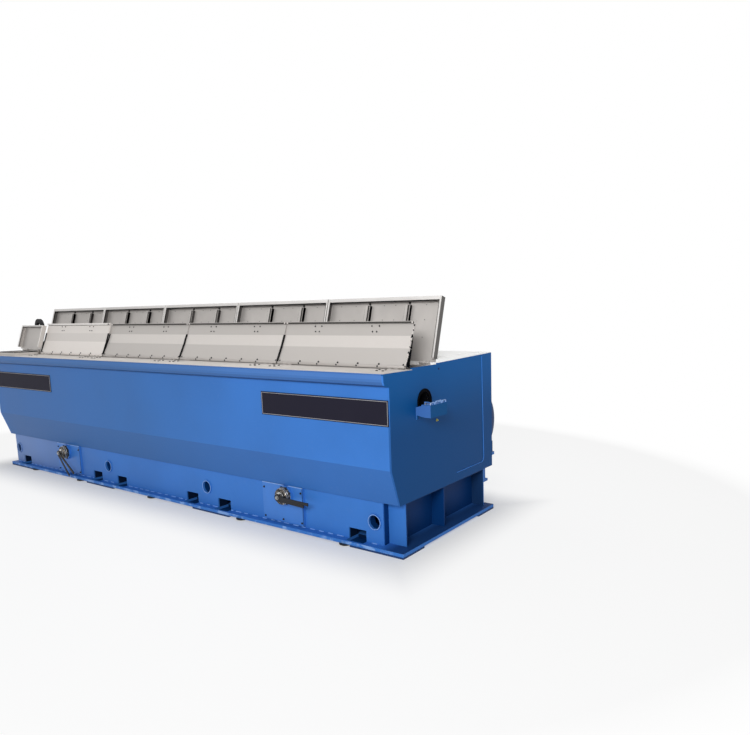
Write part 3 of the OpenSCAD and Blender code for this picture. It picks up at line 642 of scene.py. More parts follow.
def pattern(prototype, places):
    """One mesh of copies of a prototype, which is then dropped."""
    copies = []
    for place in places:
        copy = prototype.copy()
        copy.data = prototype.data.copy()
        copy.data.transform(place)
        bpy.context.scene.collection.objects.link(copy)
        copies.append(copy)
    bpy.data.objects.remove(prototype)
    return join(copies)


def pipe(points, radius, closed=False):
    """A round wire or bead through points."""
    curve = bpy.data.curves.new("pipe", "CURVE")
    curve.dimensions = "3D"
    curve.bevel_depth = radius
    curve.bevel_resolution = 3
    curve.use_fill_caps = not closed
    line = curve.splines.new("POLY")
    line.points.add(len(points) - 1)
    for spot, point in zip(line.points, points):
        spot.co = (*point, 1)
    line.use_cyclic_u = closed
    piece = bpy.data.objects.new("pipe", curve)
    bpy.context.scene.collection.objects.link(piece)
    only(piece)
    bpy.ops.object.convert(target="MESH")
    return bpy.context.object


def moved(piece, place):
    piece.data.transform(place)
    return piece


def fit(piece, name, body, slot, finish=None, angle=35):
    """Names, smooths and paints a finished piece and lets it ride."""
    only(piece)
    bpy.ops.object.shade_smooth_by_angle(angle=math.radians(angle))
    piece.name = name
    piece.data.materials.clear()
    piece.data.materials.append(MATERIALS[finish or slot])
    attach(piece, body)
    return piece


def panel_frame(name):
    """A hinged panel's frame, in the middle of its hinge line and turned with it, and its half length."""
    lo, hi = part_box(name)
    middle = Vector(((lo.x + hi.x) / 2, PIVOTS[name].y, PIVOTS[name].z))
    return Matrix.Translation(middle) @ Matrix.Rotation(TURNS.get(name, 0.0), 4, "X"), (hi.x - lo.x) / 2


# Guards

def guard_band(band):
    """Foot and top of one of a guard's three bands."""
    return [Vector((0, *fold)) for fold in GUARD_FOLDS[band:band + 2]]


def band_frame(band):
    """Frame at the foot of a band, with Z along it, and the band's length."""
    foot, top = guard_band(band)
    run, rise = top.y - foot.y, top.z - foot.z
    turn = Matrix.Rotation(-math.atan2(run, rise), 4, "X")
    return Matrix.Translation(foot) @ turn, math.hypot(run, rise)


def on_guard(x, band, share, out=0.0):
    """A place on the front of one of a guard's bands, with its normal."""
    foot, top = guard_band(band)
    way = Vector((0, foot.z - top.z, top.y - foot.y)).normalized()
    return Vector((x, 0, 0)) + foot.lerp(top, share) + way * out, way


def guard_finish(name):
    return "first_guard" if name == "guard_1" else "guard_sheet"


def guard_fasteners(name):
    """Slanted pairs of screws along the foot, one in each lower corner, two groups near the top."""
    place, half = panel_frame(name)
    # Place from the pair's middle, size and upward tip of the lower and the upper screw.
    pair = (((-0.0035, -0.0088, 0.0045), 0.75, 0.0), ((0.0035, 0.0025, 0.0190), 0.9, 0.3))
    foot = []
    for share in (-0.76, -0.38, 0.0, 0.38, 0.76):
        for spot, size, tip in pair:
            point = Vector((share * (half - 0.12), 0, 0)) + Vector(spot)
            foot.append(place @ facing(point, (0, -1, tip)) @ Matrix.Scale(size, 4))
    for side in (-1, 1):
        foot.append(place @ facing(*on_guard(side * (half - 0.022), 0, 0.05)) @ Matrix.Scale(0.7, 4))
    # Share of the upper band's height and half the distance apart of each pair in a top group.
    rows = ((0.66, 0.036), (0.27, 0.020))
    groups = [place @ facing(*on_guard(x * half + side * apart, 2, share))
              for x in (-0.45, 0.45) for share, apart in rows for side in (-1, 1)]
    fit(join([pattern(screw(0.0100, 0.0024), foot), pattern(screw(0.0062, 0.004), groups)]),
        name + "_screws", name, "black_parts")


def guard_hem(name):
    """Folded hem along the foot, which hides the gap over the hinges."""
    place, half = panel_frame(name)
    end = half - 0.006
    strip = bar(-end, end, (-0.0092, -0.0055), (-0.0076, 0.012), 0.0006)
    web = bar(-end, end, (-0.0088, 0.0100), (0.0020, 0.0135), 0.0006)
    fit(moved(join([strip, web]), place), name + "_hem", name, "stainless_sheet", guard_finish(name))


def guard_rail(name):
    """Rail along the top: painted highlight on the first guard, painted shade with painted highlights at both ends
    on the others.
    """
    place, half = panel_frame(name)
    y, z = GUARD_FOLDS[3]
    first = name == "guard_1"
    lay = Matrix.Translation((-half + 0.002, y - 0.012, z - 0.0085)) @ Matrix.Rotation(math.pi / 2, 4, "Y")
    fit(moved(rod(0.008, 2 * half - 0.004, 16, 0.001), place @ lay), name + "_rail", name,
        "polished_steel", "white_rail" if first else "shaded_rail")
    if first:
        # A black strip under the rail paints its shadow.
        seam = bar(-half + 0.006, half - 0.010, (y - 0.0090, z - 0.0225), (y - 0.0060, z - 0.0180), 0.0006)
        fit(moved(seam, place), name + "_rail_shadow", name, "black_rubber")
    # Painted highlights on both ends of a shaded rail; a black end cap on the first guard's.
    ends = [place @ facing((side * (half - 0.014), y - 0.0195, z - 0.010), (0, -1, 0.1))
            for side in ((1,) if first else (-1, 1))]
    fit(pattern(screw(0.0070, 0.004), ends), name + "_rail_plugs", name, "black_rubber",
        None if first else "bright_sheet")


def guard_dark_strips(name):
    """Black strips on the cheeks under the upper fold, painted shade in the gap to the next guard."""
    place, half = panel_frame(name)
    strips = []
    for side in (-1,) if name == "guard_4" else (-1, 1):
        cheek = place @ Matrix.Translation((side * (half + 0.0002), 0, 0))
        for lay, length in map(band_frame, (0, 1)):
            strip = block((-0.0045, -0.009, 0), (0.0025, 0.0045, length + 0.001), 0.0015)
            strips.append(moved(strip, cheek @ lay @ Matrix.Scale(side, 4, TO_OUTLET)))
    seal = join(strips)
    only(seal)
    bpy.ops.object.mode_set(mode="EDIT")
    bpy.ops.mesh.select_all(action="SELECT")
    bpy.ops.mesh.normals_make_consistent(inside=False)
    fit(settle(seal), name + "_gap_shade", name, "black_rubber")


def torn_edge():
    """Ragged lighter hem at the outlet end of the last guard, a painted highlight, with dark chips in it."""
    random.seed(11)
    place, half = panel_frame("guard_4")
    count, bands, torn = 26, 3, (6, 9, 13, 16, 17, 20, 23)
    tufts, chips = [], []
    for k in range(count):
        share = (k + 0.5) / count * bands
        point, _ = on_guard(half - 0.0015, int(share), share % 1, random.uniform(-0.001, 0.005))
        size = random.uniform(0.003, 0.007)
        tuft = block((-0.003, -size, -size * 1.5), (0.002, size, size * 1.5), 0.0012)
        turn = Matrix.Rotation(random.uniform(-0.7, 0.7), 4, "X")
        (chips if k in torn else tufts).append(moved(tuft, place @ Matrix.Translation(point) @ turn))
    fit(join(tufts), "guard_4_ragged_hem", "guard_4", "stainless_sheet", "bright_sheet")
    fit(join(chips), "guard_4_torn_rubber", "guard_4", "black_rubber")


def shade_wedge():
    """Black wedge behind the ragged hem, painted shade that narrows towards the top."""
    place, half = panel_frame("guard_4")
    parts = []
    for band, low, high in ((0, 0.048, 0.026), (1, 0.026, 0.010)):
        lay, length = band_frame(band)
        piece = block((half - 0.0035, 0.0035, 0.003), (half + 0.0005, low, length), 0)
        pick(piece, "EDGE", lambda edge: all(min(piece.data.vertices[k].co.yz) > 0.01
                                             for k in edge.vertices))
        bpy.ops.transform.translate(value=(0, high - low, 0))
        parts.append(moved(settle(piece), lay))
    fit(moved(join(parts), place), "guard_4_wedge", "guard_4", "black_rubber", "black_bush_and_shade")


# Covers and inlet pan

def pan_dark_strips(name):
    """Black strips round the inside of a pan, a dark line beside its bright lips."""
    place, half = panel_frame(name)
    height, depth, lip = PANS[name]
    top, inner = height - lip + 0.001, half - SIDE_LIP + 0.001
    thick = 0.004 if name == "inlet_pan" else 0.009
    strips = [bar(-inner, inner, (-depth + 0.0006, top - thick), (-depth + 0.008, top), 0.002)]
    for side in (-1, 1):
        strips.append(bar(side * inner, side * (inner - 0.006), (-depth + 0.0008, 0.034),
                          (-depth + 0.005, top - 0.0095)))
    fit(moved(join(strips), place), name + "_dark_strips", name, "black_rubber")


def pan_lips(name):
    """Lighter band on the lips of a pan, a painted highlight, with a rolled edge down both sides."""
    place, half = panel_frame(name)
    height, depth, lip = PANS[name]
    foot, outer, y0, y1 = 0.034, half - 0.001, -depth - 0.0006, -depth + 0.0006
    bands = [bar(-outer, outer, (y0, height - lip + 0.0015), (y1, height - 0.0005), 0.0003)]
    for side in (-1, 1):
        inner = half - SIDE_LIP + 0.0015
        bands.append(bar(side * outer, side * inner, (y0, foot), (y1, height - lip + 0.001), 0.0003))
        spot = Matrix.Translation((side * (half - 0.0052), -depth - 0.0008, foot))
        bands.append(moved(rod(0.0048, height - 0.036, 12, 0.001), spot))
    fit(moved(join(bands), place), name + "_lips", name, "stainless_sheet", "white_sheet")


def rib_shades(name):
    """Dark inside and sides of the two channel ribs of a cover."""
    place, half = panel_frame(name)
    foot, top = 0.032, 0.455
    # Two places along the cover from the rib's middle, and two across it, of each shaded strip.
    strips = ((0.0035, 0.0185, -0.0265, -0.001), (0.0228, 0.0250, -0.0265, -0.0005),
              (-0.0250, -0.0228, -0.0300, -0.0005))
    shades = []
    for x in (side * half for side in RIBS):
        shades += [bar(x + x0, x + x1, (y0, foot), (y1, top), 0.0005) for x0, x1, y0, y1 in strips]
    fit(moved(join(shades), place), name + "_rib_shades", name, "black_rubber", "rib_shade")


def rib_bolts(name):
    """Bolt at the head of each channel rib."""
    place, half = panel_frame(name)
    heads = [place @ facing((side * half, 0, COVER_H - 0.040), TO_FRONT) for side in RIBS]
    fit(pattern(bolt(0.008, 0.008), heads), name + "_rib_bolts", name, "black_parts")


def cover_rivets(name):
    """Small rivets between the ribs and down both cheeks of a cover."""
    place, half = panel_frame(name)
    rivets = [place @ facing((side * half, 0, z), TO_FRONT)
              for side in (-0.80, -0.52, 0.0, 0.20, 0.72) for z in (0.20, 0.34, 0.46)]
    rivets += [place @ facing((side * (half - SHEET), -0.024, z), (-side, 0, 0))
               for side in (-1, 1) for z in (0.09, 0.21, 0.33, 0.45)]
    fit(pattern(rod(0.0045, 0.0025, 10, 0.001), rivets), name + "_rivets", name,
        "stainless_sheet", "dark_steel")


def cover_grip(name):
    """Bow grip on the back of a cover, to pull it shut."""
    place = panel_frame(name)[0]
    half, z, out = 0.07, COVER_H - 0.05, 0.035
    path = [(-half, 0), (-half, out * 0.8), (-half + 0.007, out),
            (half - 0.007, out), (half, out * 0.8), (half, 0)]
    bow = pipe([(x, SHEET + y, z) for x, y in path], 0.005)
    fit(moved(bow, place), name + "_grip", name, "polished_steel")


# Apron and hatch

def hinge_leaves():
    """Flat hinge leaves of the guards on the apron, each with four screws in a zigzag."""
    inset, half = 0.110, 0.058
    zigzag = ((-0.043, 0.103), (-0.014, 0.172), (0.016, 0.108), (0.043, 0.175))
    places, leaves = [], []
    for name in GUARDS:
        lo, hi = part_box(name)
        y = PIVOTS[name].y
        for x in (lo.x + inset, hi.x - inset):
            low, high = (y - 0.192, APRON_Z - 0.0005), (y - 0.012, APRON_Z + 0.0014)
            leaves.append(bar(x - half, x + half, low, high, 0.0006))
            places += facings([(x + shift, y - back, APRON_Z + 0.001) for shift, back in zigzag], UPWARD)
    fit(join(leaves), "apron_hinge_leaves", "machine", "stainless_sheet")
    fit(pattern(screw(0.0088, 0.0055), places), "apron_hinge_screws", "machine", "black_parts")


def apron_lip():
    """Lighter folded edge of the apron along the front of the rim, a painted highlight."""
    lip = bar(MID_X - HALF_L, MID_X + HALF_L, (FACE_Y - 0.0609, RIM_Z - 0.001),
              (FACE_Y - 0.0585, APRON_Z + 0.0005), 0.0008)
    fit(lip, "apron_front_fold", "machine", "stainless_sheet", "bright_sheet")


def hatch_trim():
    """Rubber bead round the coaming under the inlet pan, and the sheet behind the pan's foot."""
    lo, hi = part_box("inlet_pan")
    pivot = PIVOTS["inlet_pan"]
    height, lip = PANS["inlet_pan"][0], PANS["inlet_pan"][2]
    x0, x1 = lo.x + SIDE_LIP + 0.010, hi.x - SIDE_LIP - 0.010
    y0, y1 = pivot.y - height + lip + 0.008, pivot.y - 0.026
    corners = [(x, y, RIM_Z + 0.038) for x, y in ((x0, y0), (x1, y0), (x1, y1), (x0, y1))]
    fit(pipe(corners, 0.004, closed=True), "hatch_rubber", "machine", "black_rubber")
    sheet = bar(lo.x + SHEET, hi.x, (pivot.y + 0.017, APRON_Z), (pivot.y + 0.020, pivot.z + 0.010), 0.0008)
    foot = bar(lo.x + SHEET, hi.x, (pivot.y + 0.002, APRON_Z - 0.0005),
               (pivot.y + 0.0185, APRON_Z + 0.002), 0.0008)
    fit(join([sheet, foot]), "inlet_backing", "machine", "stainless_sheet")


def sign_border(name):
    """Thin light border on a bare sign plate."""
    lo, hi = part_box(name)
    inset, wide, proud = 0.006, 0.0035, 0.0012
    x0, x1, z0, z1 = lo.x + inset, hi.x - inset, lo.z + inset, hi.z - inset
    y0, y1 = lo.y - proud, lo.y + 0.0005
    bars = [block((x0, y0, z), (x1, y1, z + wide), 0.0004) for z in (z0, z1 - wide)]
    bars += [block((x, y0, z0), (x + wide, y1, z1), 0.0004) for x in (x0, x1 - wide)]
    fit(join(bars), name + "_border", "machine", "stainless_sheet", "sign_border")


# Drains

def drain_bolts(side):
    """Bolts of a drain plate and of its valve flange."""
    node = "drain_valve_" + side
    lever = PIVOTS["valve_lever_" + side]
    lo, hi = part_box(node)
    plate_y, top = hi.y - DRAIN_PLATE, min(hi.z, lo.z + DRAIN_PLATE_H)
    plate = [(x, plate_y, z) for z in (lo.z + 0.022, top - 0.045)
             for x in (lo.x + 0.020, (lo.x + hi.x) / 2, hi.x - 0.020)]
    count, radius = 8, 0.0725
    turns = [(k + 0.5) * 2 * math.pi / count for k in range(count)]
    flange = [(lever.x + radius * math.cos(turn), plate_y - DRAIN_FLANGE, lever.z + radius * math.sin(turn))
              for turn in turns]
    bolts = [pattern(bolt(0.0068, 0.006), facings(plate, TO_FRONT)),
             pattern(bolt(0.0055, 0.006), facings(flange, TO_FRONT))]
    fit(join(bolts), node + "_bolts", "machine", "black_parts")


def drain_edges(side):
    """Lighter top edge, a painted highlight, and darker side edge, painted shade, of a drain plate."""
    node = "drain_valve_" + side
    lo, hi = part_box(node)
    plate_y, top = hi.y - DRAIN_PLATE, min(hi.z, lo.z + DRAIN_PLATE_H)
    y0, y1 = plate_y - 0.0012, plate_y + 0.002
    fit(bar(lo.x + 0.001, hi.x - 0.001, (y0, top - 0.006), (y1, top - 0.001), 0.0006),
        node + "_highlight_edge", "machine", "blue_paint", "pale_blue")
    fit(bar(hi.x - 0.007, hi.x - 0.001, (y0, lo.z + 0.004), (y1, top - 0.008), 0.0006),
        node + "_shade_edge", "machine", "dark_blue_paint")


def valve_trim(side):
    """Turned bands and cap of a drain's valve, and the nut that holds its lever."""
    node, lever_node = "drain_valve_" + side, "valve_lever_" + side
    plate_y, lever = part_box(node)[1].y - DRAIN_PLATE, PIVOTS[lever_node]
    near, far, cap = facings([(lever.x, plate_y - y, lever.z) for y in (0.038, 0.054, 0.0638)], TO_FRONT)
    bands = [moved(ring(0.066, 0.0022, 40, 8), place) for place in (near, far)]
    bands.append(moved(rod(0.040, 0.006, 28, 0.0015), cap))
    fit(join(bands), node + "_bright_bands", "machine", "polished_steel")
    nut = moved(bolt(0.013, 0.009), facing((lever.x, lever.y - 0.0052, lever.z), TO_FRONT))
    fit(nut, lever_node + "_nut", lever_node, "machined_steel")


# Base

def stitch_welds():
    """Short irregular weld beads where the base walls meet the base plate."""
    random.seed(5)
    pitch, lengths, gaps = 0.008, (5, 8), (0.035, 0.065)
    start, end, pocket_half = 0.03, 0.08, 0.094
    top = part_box("base_plate")[1].z
    deselect()
    bpy.ops.mesh.primitive_uv_sphere_add(segments=8, ring_count=5, radius=0.0048)
    blob = settle(bpy.context.object)
    places = []
    for name, inward in BASE_WALLS:
        lo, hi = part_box(name)
        y = collar_y(name, inward) + inward * (COLLAR - 0.003)
        x = lo.x + start
        while x < hi.x - end:
            for _ in range(random.randint(*lengths)):
                scale = Matrix.Diagonal((1.1, 1.0, random.uniform(0.7, 1.1), 1.0))
                if all(abs(x - pocket) > pocket_half for pocket in POCKET_XS):
                    places.append(Matrix.Translation((x, y, top + 0.0015)) @ scale)
                x += pitch
            x += random.uniform(*gaps)
    fit(pattern(blob, places), "base_stitch_welds", "machine", "blue_paint", "weld_paint", 80)


def pocket_shades():
    """Thin dark sheets at the bottom of each jacking pocket, painted shade in place of the floor seen through its
    notch.
    """
    plate_lo, plate_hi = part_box("base_plate")
    low, half, edge, depth = plate_lo.z, 0.0835, 0.0205, 0.110
    pads = []
    for name, inward in BASE_WALLS:
        edge_y = plate_lo.y if inward > 0 else plate_hi.y
        y0, y1 = sorted((edge_y + inward * edge, collar_y(name, inward) + inward * depth))
        pads += [bar(x - half, x + half, (y0, low + 0.001), (y1, low + 0.004)) for x in POCKET_XS]
    fit(join(pads), "jacking_pocket_shades", "machine", "dark_blue_paint", "end_walls")


def lifting_sleeves():
    """Short tubes behind the lifting holes, which guide the bars."""
    length, tubes = 0.055, []
    for name, inward in BASE_WALLS:
        y = collar_y(name, inward) + inward * (COLLAR + WALL - 0.0005)
        for x in HOLE_XS:
            deselect()
            bpy.ops.mesh.primitive_cylinder_add(vertices=40, radius=0.0585, depth=length,
                                                end_fill_type="NOTHING", location=(0, 0, length / 2))
            tube = modify(settle(bpy.context.object), "SOLIDIFY", thickness=0.006, offset=-1.0)
            tubes.append(moved(tube, facing((x, y, HOLE_Z), (0, inward, 0))))
    # The end walls' finish paints them in shade inside the holes.
    fit(join(tubes), "lifting_hole_sleeves", "machine", "dark_blue_paint", "end_walls")


def lifting_rims():
    """Pale blue lip round each lifting hole of the base walls."""
    places = []
    for name, inward in BASE_WALLS:
        y = collar_y(name, inward) + inward * 0.0012
        places += facings([(x, y, HOLE_Z) for x in HOLE_XS], (0, -inward, 0))
    fit(pattern(ring(0.0560, 0.0026, 44, 8), places), "lifting_hole_lips", "machine",
        "blue_paint", "pale_blue")


# Outlet end

def end_plate_seam():
    """Low bead on the outlet end plate, down the rear edge and round a corner to the front."""
    x, y, z = PLATE_HI.x + 0.0012, FACE_Y + 1.288, 0.441
    radius, steps = 0.045, 6
    path = [(x, FACE_Y + 1.269, PLATE_HI.z - 0.020)]
    for k in range(steps + 1):
        turn = k / steps * math.pi / 2
        path.append((x, y - radius + radius * math.cos(turn), z + radius - radius * math.sin(turn)))
    path.append((x, FACE_Y + 0.848, z))
    # Lighter blue: a painted highlight on the bead against the end plate's painted shade.
    fit(pipe(path, 0.0028), "end_plate_seam", "machine", "blue_paint", "lighter_blue")


def end_plate_fittings():
    """Lubricant nipple and a single bolt on the outlet end plate."""
    nipple = facing((PLATE_HI.x, FACE_Y + 0.571, 0.913), TO_OUTLET)
    fit(join([moved(bolt(0.0075, 0.005), nipple), moved(rod(0.0050, 0.014, 16, 0.0015), nipple)]),
        "lubricant_nipple", "machine", "machined_steel", "brass")
    spot = facing((PLATE_HI.x, FACE_Y + 0.611, 1.300), TO_OUTLET)
    # Blue in painted shade, like the end plate around it.
    fit(moved(bolt(0.0065, 0.005), spot), "end_plate_bolt", "machine", "dark_blue_paint")


def wire_outlet():
    """Rounded black lip of the wire outlet, a matt black funnel behind it as painted shade in the hole, and a grey
    steel arc inside it as a painted glint.
    """
    lo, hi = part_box("outlet_ring")
    centre = Vector((PLATE_HI.x, (lo.y + hi.y) / 2, (lo.z + hi.z) / 2))
    fit(moved(ring(0.0885, 0.004, 56, 10), facing(centre + Vector((0.001, 0, 0)), TO_OUTLET)),
        "outlet_lip", "machine", "black_rubber", "black_bush_and_shade")
    funnel = sink(rod(0.0675, 0.090, 40), [0.006, 0.046], -0.070)
    fit(moved(funnel, facing(centre - Vector((0.108, 0, 0)), TO_OUTLET)),
        "outlet_funnel", "machine", "black_rubber", "black_bush_and_shade")
    radius = 0.052
    arc = [centre + Vector((-0.030, radius * math.cos(turn), radius * math.sin(turn)))
           for turn in (math.radians(150 + 8 * k) for k in range(9))]
    fit(pipe(arc, 0.0022), "outlet_glint_arc", "machine", "machined_steel", "dark_steel")


def bracket_bolts():
    lo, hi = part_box("outlet_bracket")
    places = facings([(lo.x + 0.008, y, lo.z + 0.010) for y in (lo.y + 0.024, hi.y - 0.030)], TO_OUTLET)
    # Blue in painted shade, like the bracket's side towards the outlet.
    fit(pattern(bolt(0.007, 0.006), places), "outlet_bracket_bolts", "machine", "dark_blue_paint")


def bracket_wires():
    """Bent wire loops along the outer edge of the bracket's table, and a bright staple at its corner."""
    lo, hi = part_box("outlet_bracket")
    table = hi.z - 0.024
    loops = []
    for middle, half, high in ((0.038, 0.026, 0.016), (0.116, 0.036, 0.021), (0.188, 0.022, 0.017)):
        y = lo.y + middle
        path = [(-half, -0.001), (-half, high - 0.006), (-half + 0.006, high),
                (half - 0.006, high), (half, high - 0.006), (half, -0.001)]
        loops.append(pipe([(hi.x - 0.008, y + shift, table + z) for shift, z in path], 0.0038))
        loops.append(pipe([(x, y, table + 0.003) for x in (hi.x - 0.060, hi.x - 0.010)], 0.0045))
    fit(join(loops), "outlet_wire_loops", "machine", "blue_paint", "pale_blue")
    x0, x1, y = hi.x - 0.054, hi.x - 0.010, lo.y + 0.009
    path = [(x0, 0.0), (x0, 0.015), (x0 + 0.006, 0.0195), (x1 - 0.006, 0.0195), (x1, 0.015), (x1, 0.0)]
    fit(pipe([(x, y, table + z) for x, z in path], 0.0044), "outlet_staple", "machine",
        "polished_steel", "bright_sheet")


# Rear side and drive

def deck_screws():
    """Low screws round each lid of the gear deck, which rises a little to the rear."""
    front_y, middle_y, slope, half = 0.640, 1.075, 0.003 / 0.800, 0.505
    places = []
    for name in COVERS:
        lo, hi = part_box(name)
        for y in (0.785, middle_y, 1.365):
            z = RIM_Z + 0.053 + slope * (y - front_y) + 0.004
            for share in (-1.0, 1.0) if y == middle_y else (-1.0, -0.5, 0.0, 0.5, 1.0):
                point = ((lo.x + hi.x) / 2 + share * half, FACE_Y + y, z)
                places.append(facing(point, (0, -slope, 1)))
    # The screws take the deck's white enamel with its glow of painted light.
    fit(pattern(screw(0.008, 0.004), places), "deck_lid_screws", "machine",
        "stainless_sheet", "white_deck")


def door_screws():
    """Screws down both sides of the rear doors."""
    low, pitch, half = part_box("rear_doors")[0].z, 1.120, 0.385
    points = [(MID_X + i * pitch + x, FACE_Y + BODY_D + 0.010, low + z)
              for i in (-2, -1, 0) for x in (-half, half) for z in (0.03, 0.28, 0.53)]
    fit(pattern(screw(0.008, 0.005), facings(points, TO_REAR)), "rear_door_screws", "machine", "black_parts")


def motor_axis():
    """Middle of the motor's fan end."""
    lo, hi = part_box("motor")
    radius, foot = 0.320, 0.020
    return Vector((hi.x, hi.y - radius, lo.z + foot + radius))


def fan_grille():
    """Rings, spokes and hub over the motor's fan."""
    end = motor_axis()
    parts = [moved(ring(radius, 0.004, 48, 6), facing(end - Vector((0.001, 0, 0)), TO_OUTLET))
             for radius in (0.06, 0.10, 0.14, 0.18, 0.22)]
    for k in range(8):
        spoke = block((-0.004, -0.004, 0.03), (0.003, 0.004, 0.235))
        parts.append(moved(spoke, Matrix.Translation(end) @ Matrix.Rotation(k * math.pi / 4, 4, "X")))
    parts.append(moved(rod(0.034, 0.006, 24, 0.002), facing(end - Vector((0.003, 0, 0)), TO_OUTLET)))
    fit(join(parts), "motor_fan_grille", "machine", "black_parts")


def motor_box():
    """Lid screws and cable glands of the terminal box, and the lifting eye beside it."""
    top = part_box("motor")[1].z
    length, end = 1.150, motor_axis()
    x, y = end.x - length * 0.55, end.y
    screws = [(x + along, y + across, top) for along in (-0.12, 0.12) for across in (-0.088, 0.088)]
    fit(pattern(screw(0.006, 0.004), facings(screws, UPWARD)),
        "motor_box_screws", "machine", "machined_steel")
    glands = [(x + along, y - 0.095, top - 0.070) for along in (-0.06, 0.0, 0.06)]
    fit(pattern(bolt(0.016, 0.014), facings(glands, TO_FRONT)), "motor_box_glands", "machine", "black_parts")
    upright = Matrix.Translation((x + 0.30, y, end.z + 0.338)) @ Matrix.Rotation(math.pi / 2, 4, "X")
    fit(moved(ring(0.034, 0.009, 28, 10), upright), "motor_lifting_eye", "machine", "machined_steel")


def stand_bolts():
    lo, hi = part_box("motor_stand")
    points = [(x, y, lo.z + 0.025) for x in (lo.x + 0.03, hi.x - 0.12)
              for y in (lo.y + 0.05, (lo.y + hi.y) / 2, hi.y - 0.05)]
    fit(pattern(bolt(0.016, 0.014), facings(points, UPWARD)),
        "motor_stand_anchors", "machine", "machined_steel")


def belt_guard_fittings():
    """Bolts round the belt guard, and louvres in its middle."""
    lo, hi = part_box("belt_guard")
    points = [(lo.x, lo.y + y, z) for y in (0.04, 0.22, 0.40) for z in (lo.z + 0.03, hi.z - 0.03)]
    fit(pattern(bolt(0.010, 0.007), facings(points, TO_INLET)),
        "belt_guard_bolts", "machine", "machined_steel")
    slots = [Matrix.Translation((lo.x, lo.y + 0.13 + k * 0.045, (lo.z + hi.z) / 2)) for k in range(6)]
    slot = block((-0.003, -0.011, -0.13), (0.002, 0.011, 0.13), 0.004)
    fit(pattern(slot, slots), "belt_guard_louvres", "machine", "blue_paint", "lighter_blue")


# Drawing train

def capstan_details():
    """Clamp bolts and wear ring of each capstan."""
    count, radius, wide = 6, 0.062, 0.056
    z = CAPSTAN_LO.z + CAPSTAN_R
    bolts, rings = [], []
    for i in range(CAPSTANS):
        x = CAPSTAN_LO.x + CAPSTAN_R + i * CAPSTAN_PITCH
        for turn in (k * 2 * math.pi / count for k in range(count)):
            bolts.append((x + radius * math.cos(turn), CAPSTAN_LO.y, z + radius * math.sin(turn)))
        rings.append((x, CAPSTAN_LO.y + 0.058 - wide / 2, z))
    fit(pattern(bolt(0.010, 0.008), facings(bolts, TO_FRONT)),
        "capstan_clamp_bolts", "machine", "black_parts")
    band = rod(0.1935, wide, 64, 0.001)
    pick(band, "FACE", lambda face: abs(face.normal.z) > 0.9)
    bpy.ops.mesh.inset(thickness=0.012)
    fit(pattern(settle(band), facings(rings, TO_REAR)), "capstan_wear_rings", "machine", "polished_steel")


def die_cases():
    """Case on both sides of each die, on the wire line between the capstans."""
    places = []
    for i in range(CAPSTANS - 1):
        x = CAPSTAN_LO.x + CAPSTAN_R + (i + 0.5) * CAPSTAN_PITCH
        for side in (-1, 1):
            places.append(facing((x + side * 0.040, WIRE_Y, WIRE_Z), (side, 0, 0)))
    case = sink(rod(0.026, 0.005, 28, 0.001), [0.011], -0.003)
    fit(pattern(case, places), "die_cases", "machine", "machined_steel", "brass")


# Camera, light and floor

def camera():
    lens = bpy.data.cameras.new("camera")
    lens.sensor_width = SENSOR_MM
    lens.lens = FOCAL_PX / IMAGE_W * SENSOR_MM
    lens.shift_x = (IMAGE_W / 2 - AXIS_PX[0]) / IMAGE_W
    lens.shift_y = (AXIS_PX[1] - IMAGE_H / 2) / IMAGE_W
    lens.clip_end = 200
    eye = bpy.data.objects.new("camera", lens)
    bpy.context.scene.collection.objects.link(eye)
    turn = Matrix.Rotation(EYE_TURN, 4, "Z") @ Matrix.Rotation(math.pi / 2 - EYE_DIP, 4, "X")
    eye.matrix_world = Matrix.Translation(EYE) @ turn @ Matrix.Rotation(-EYE_ROLL, 4, "Z")
    bpy.context.scene.camera = eye


def lamp(name, place, target, size, watts):
    light = bpy.data.lights.new(name, "AREA")
    light.shape = "RECTANGLE"
    light.size, light.size_y = size
    light.energy = watts
    holder = bpy.data.objects.new(name, light)
    bpy.context.scene.collection.objects.link(holder)
    aim = (Vector(target) - Vector(place)).to_track_quat("-Z", "Y")
    holder.matrix_world = Matrix.Translation(place) @ aim.to_matrix().to_4x4()


def room_light(strength):
    """Pale light from all round, seen as white by the camera and by metal."""
    room = bpy.data.worlds.new("room")
    bpy.context.scene.world = room
    room.use_nodes = True
    nodes = Nodes(room.node_tree)
    camera_ray, clear_ray, glossy_ray = (nodes.node("ShaderNodeLightPath", output="Is %s Ray" % kind)
                                         for kind in ("Camera", "Transmission", "Glossy"))
    seen = nodes.maths("MAXIMUM", nodes.maths("MAXIMUM", camera_ray, clear_ray), glossy_ray)
    level = nodes.node("ShaderNodeMapRange", inputs={"Value": seen, "To Min": strength, "To Max": 1.0})
    back = room.node_tree.nodes["Background"]
    nodes.plug(back.inputs["Color"], WHITE)
    nodes.plug(back.inputs["Strength"], level)


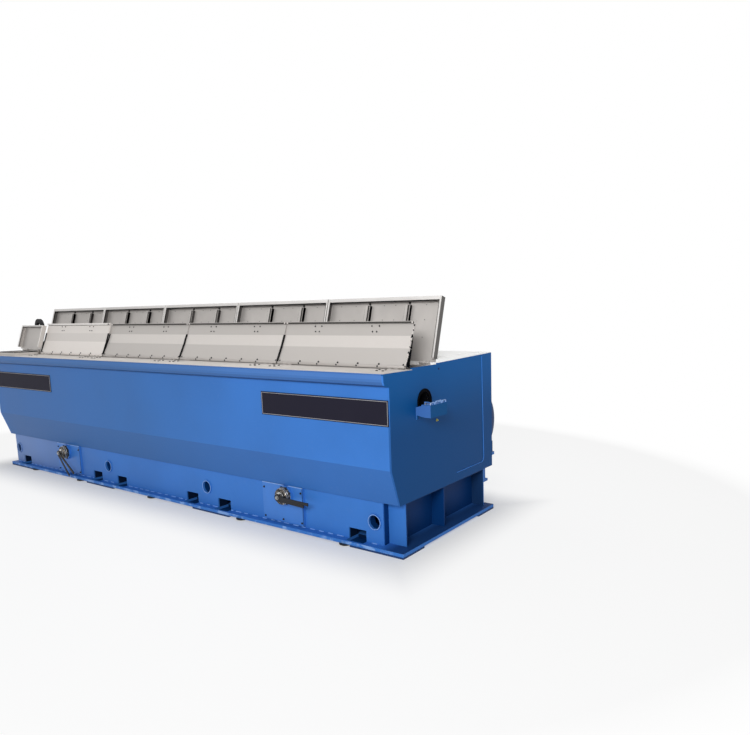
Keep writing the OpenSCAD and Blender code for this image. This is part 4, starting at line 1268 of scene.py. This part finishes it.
def floor():
    """Pale floor that keeps the shadow under the machine, lifts it beside the machine with a glow of painted light
    and turns white far away.
    """
    bpy.ops.mesh.primitive_plane_add(size=60)
    ground = bpy.context.object
    ground.name = "floor"
    finish = Finish("pale floor", {"Base Color": (0.86, 0.86, 0.86), "Roughness": 0.8,
                                   "Specular IOR Level": 0.1})
    reach = finish.node("ShaderNodeVectorMath", {"operation": "LENGTH"}, {0: finish.place((0.75, 1.0, 1.0))},
                        output=1)
    along, across = finish.spot(X), finish.spot(Y)
    beside = finish.maths("MAXIMUM", abs(along - MID_X) - HALF_L,
                          abs(across - (FACE_Y + BODY_D / 2)) - BODY_D / 2)
    # Glow of painted light: none under the machine, rising beside it, which lifts the shadow there.
    near = finish.step(beside, -0.10, -0.06) * 0.30 + finish.step(beside, -0.05, 0.5) * 0.55
    glow = finish.maths("MAXIMUM", near, finish.step(reach, 2.6, 4.4))
    white = finish.node("ShaderNodeEmission", inputs={"Color": WHITE, "Strength": 1.0})
    shaded = Value(finish, finish.shader.outputs[0])
    both = finish.node("ShaderNodeMixShader", inputs={0: glow, 1: shaded, 2: white})
    finish.plug(finish.tree.nodes["Material Output"].inputs["Surface"], both)
    ground.data.materials.append(finish.material)


for subpart in frame["record"]["subparts"]:
    node_finish = NODE_FINISH.get(subpart["node"], subpart["material_slot"])
    for node_slot in frame["nodes"][subpart["node"]].material_slots:
        node_slot.material = MATERIALS[node_finish]

for guard in GUARDS:
    guard_fasteners(guard)
    guard_hem(guard)
    guard_rail(guard)
    guard_dark_strips(guard)
torn_edge()
shade_wedge()
for cover in COVERS:
    pan_dark_strips(cover)
    pan_lips(cover)
    rib_shades(cover)
    cover_rivets(cover)
    rib_bolts(cover)
    cover_grip(cover)
pan_lips("inlet_pan")
pan_dark_strips("inlet_pan")
hinge_leaves()
apron_lip()
hatch_trim()
sign_border("sign_left")
sign_border("sign_right")
for hand in ("left", "right"):
    drain_bolts(hand)
    drain_edges(hand)
    valve_trim(hand)
stitch_welds()
pocket_shades()
lifting_sleeves()
lifting_rims()
end_plate_seam()
end_plate_fittings()
wire_outlet()
bracket_bolts()
bracket_wires()
deck_screws()
door_screws()
fan_grille()
motor_box()
stand_bolts()
belt_guard_fittings()
capstan_details()
die_cases()

camera()
room_light(0.16)
lamp("key", (6.3, -8.7, 4.6), (0.9, -0.5, 0.9), (4.0, 2.4), 620)
lamp("fill", (-5.0, -8.5, 5.0), (-1.5, 0, 0.8), (4.5, 3.0), 25)
lamp("top", (-0.5, 0.3, 6.0), (-0.5, 0.2, 0), (8.0, 4.0), 170)
floor()
bpy.context.scene.view_settings.view_transform = "Standard"
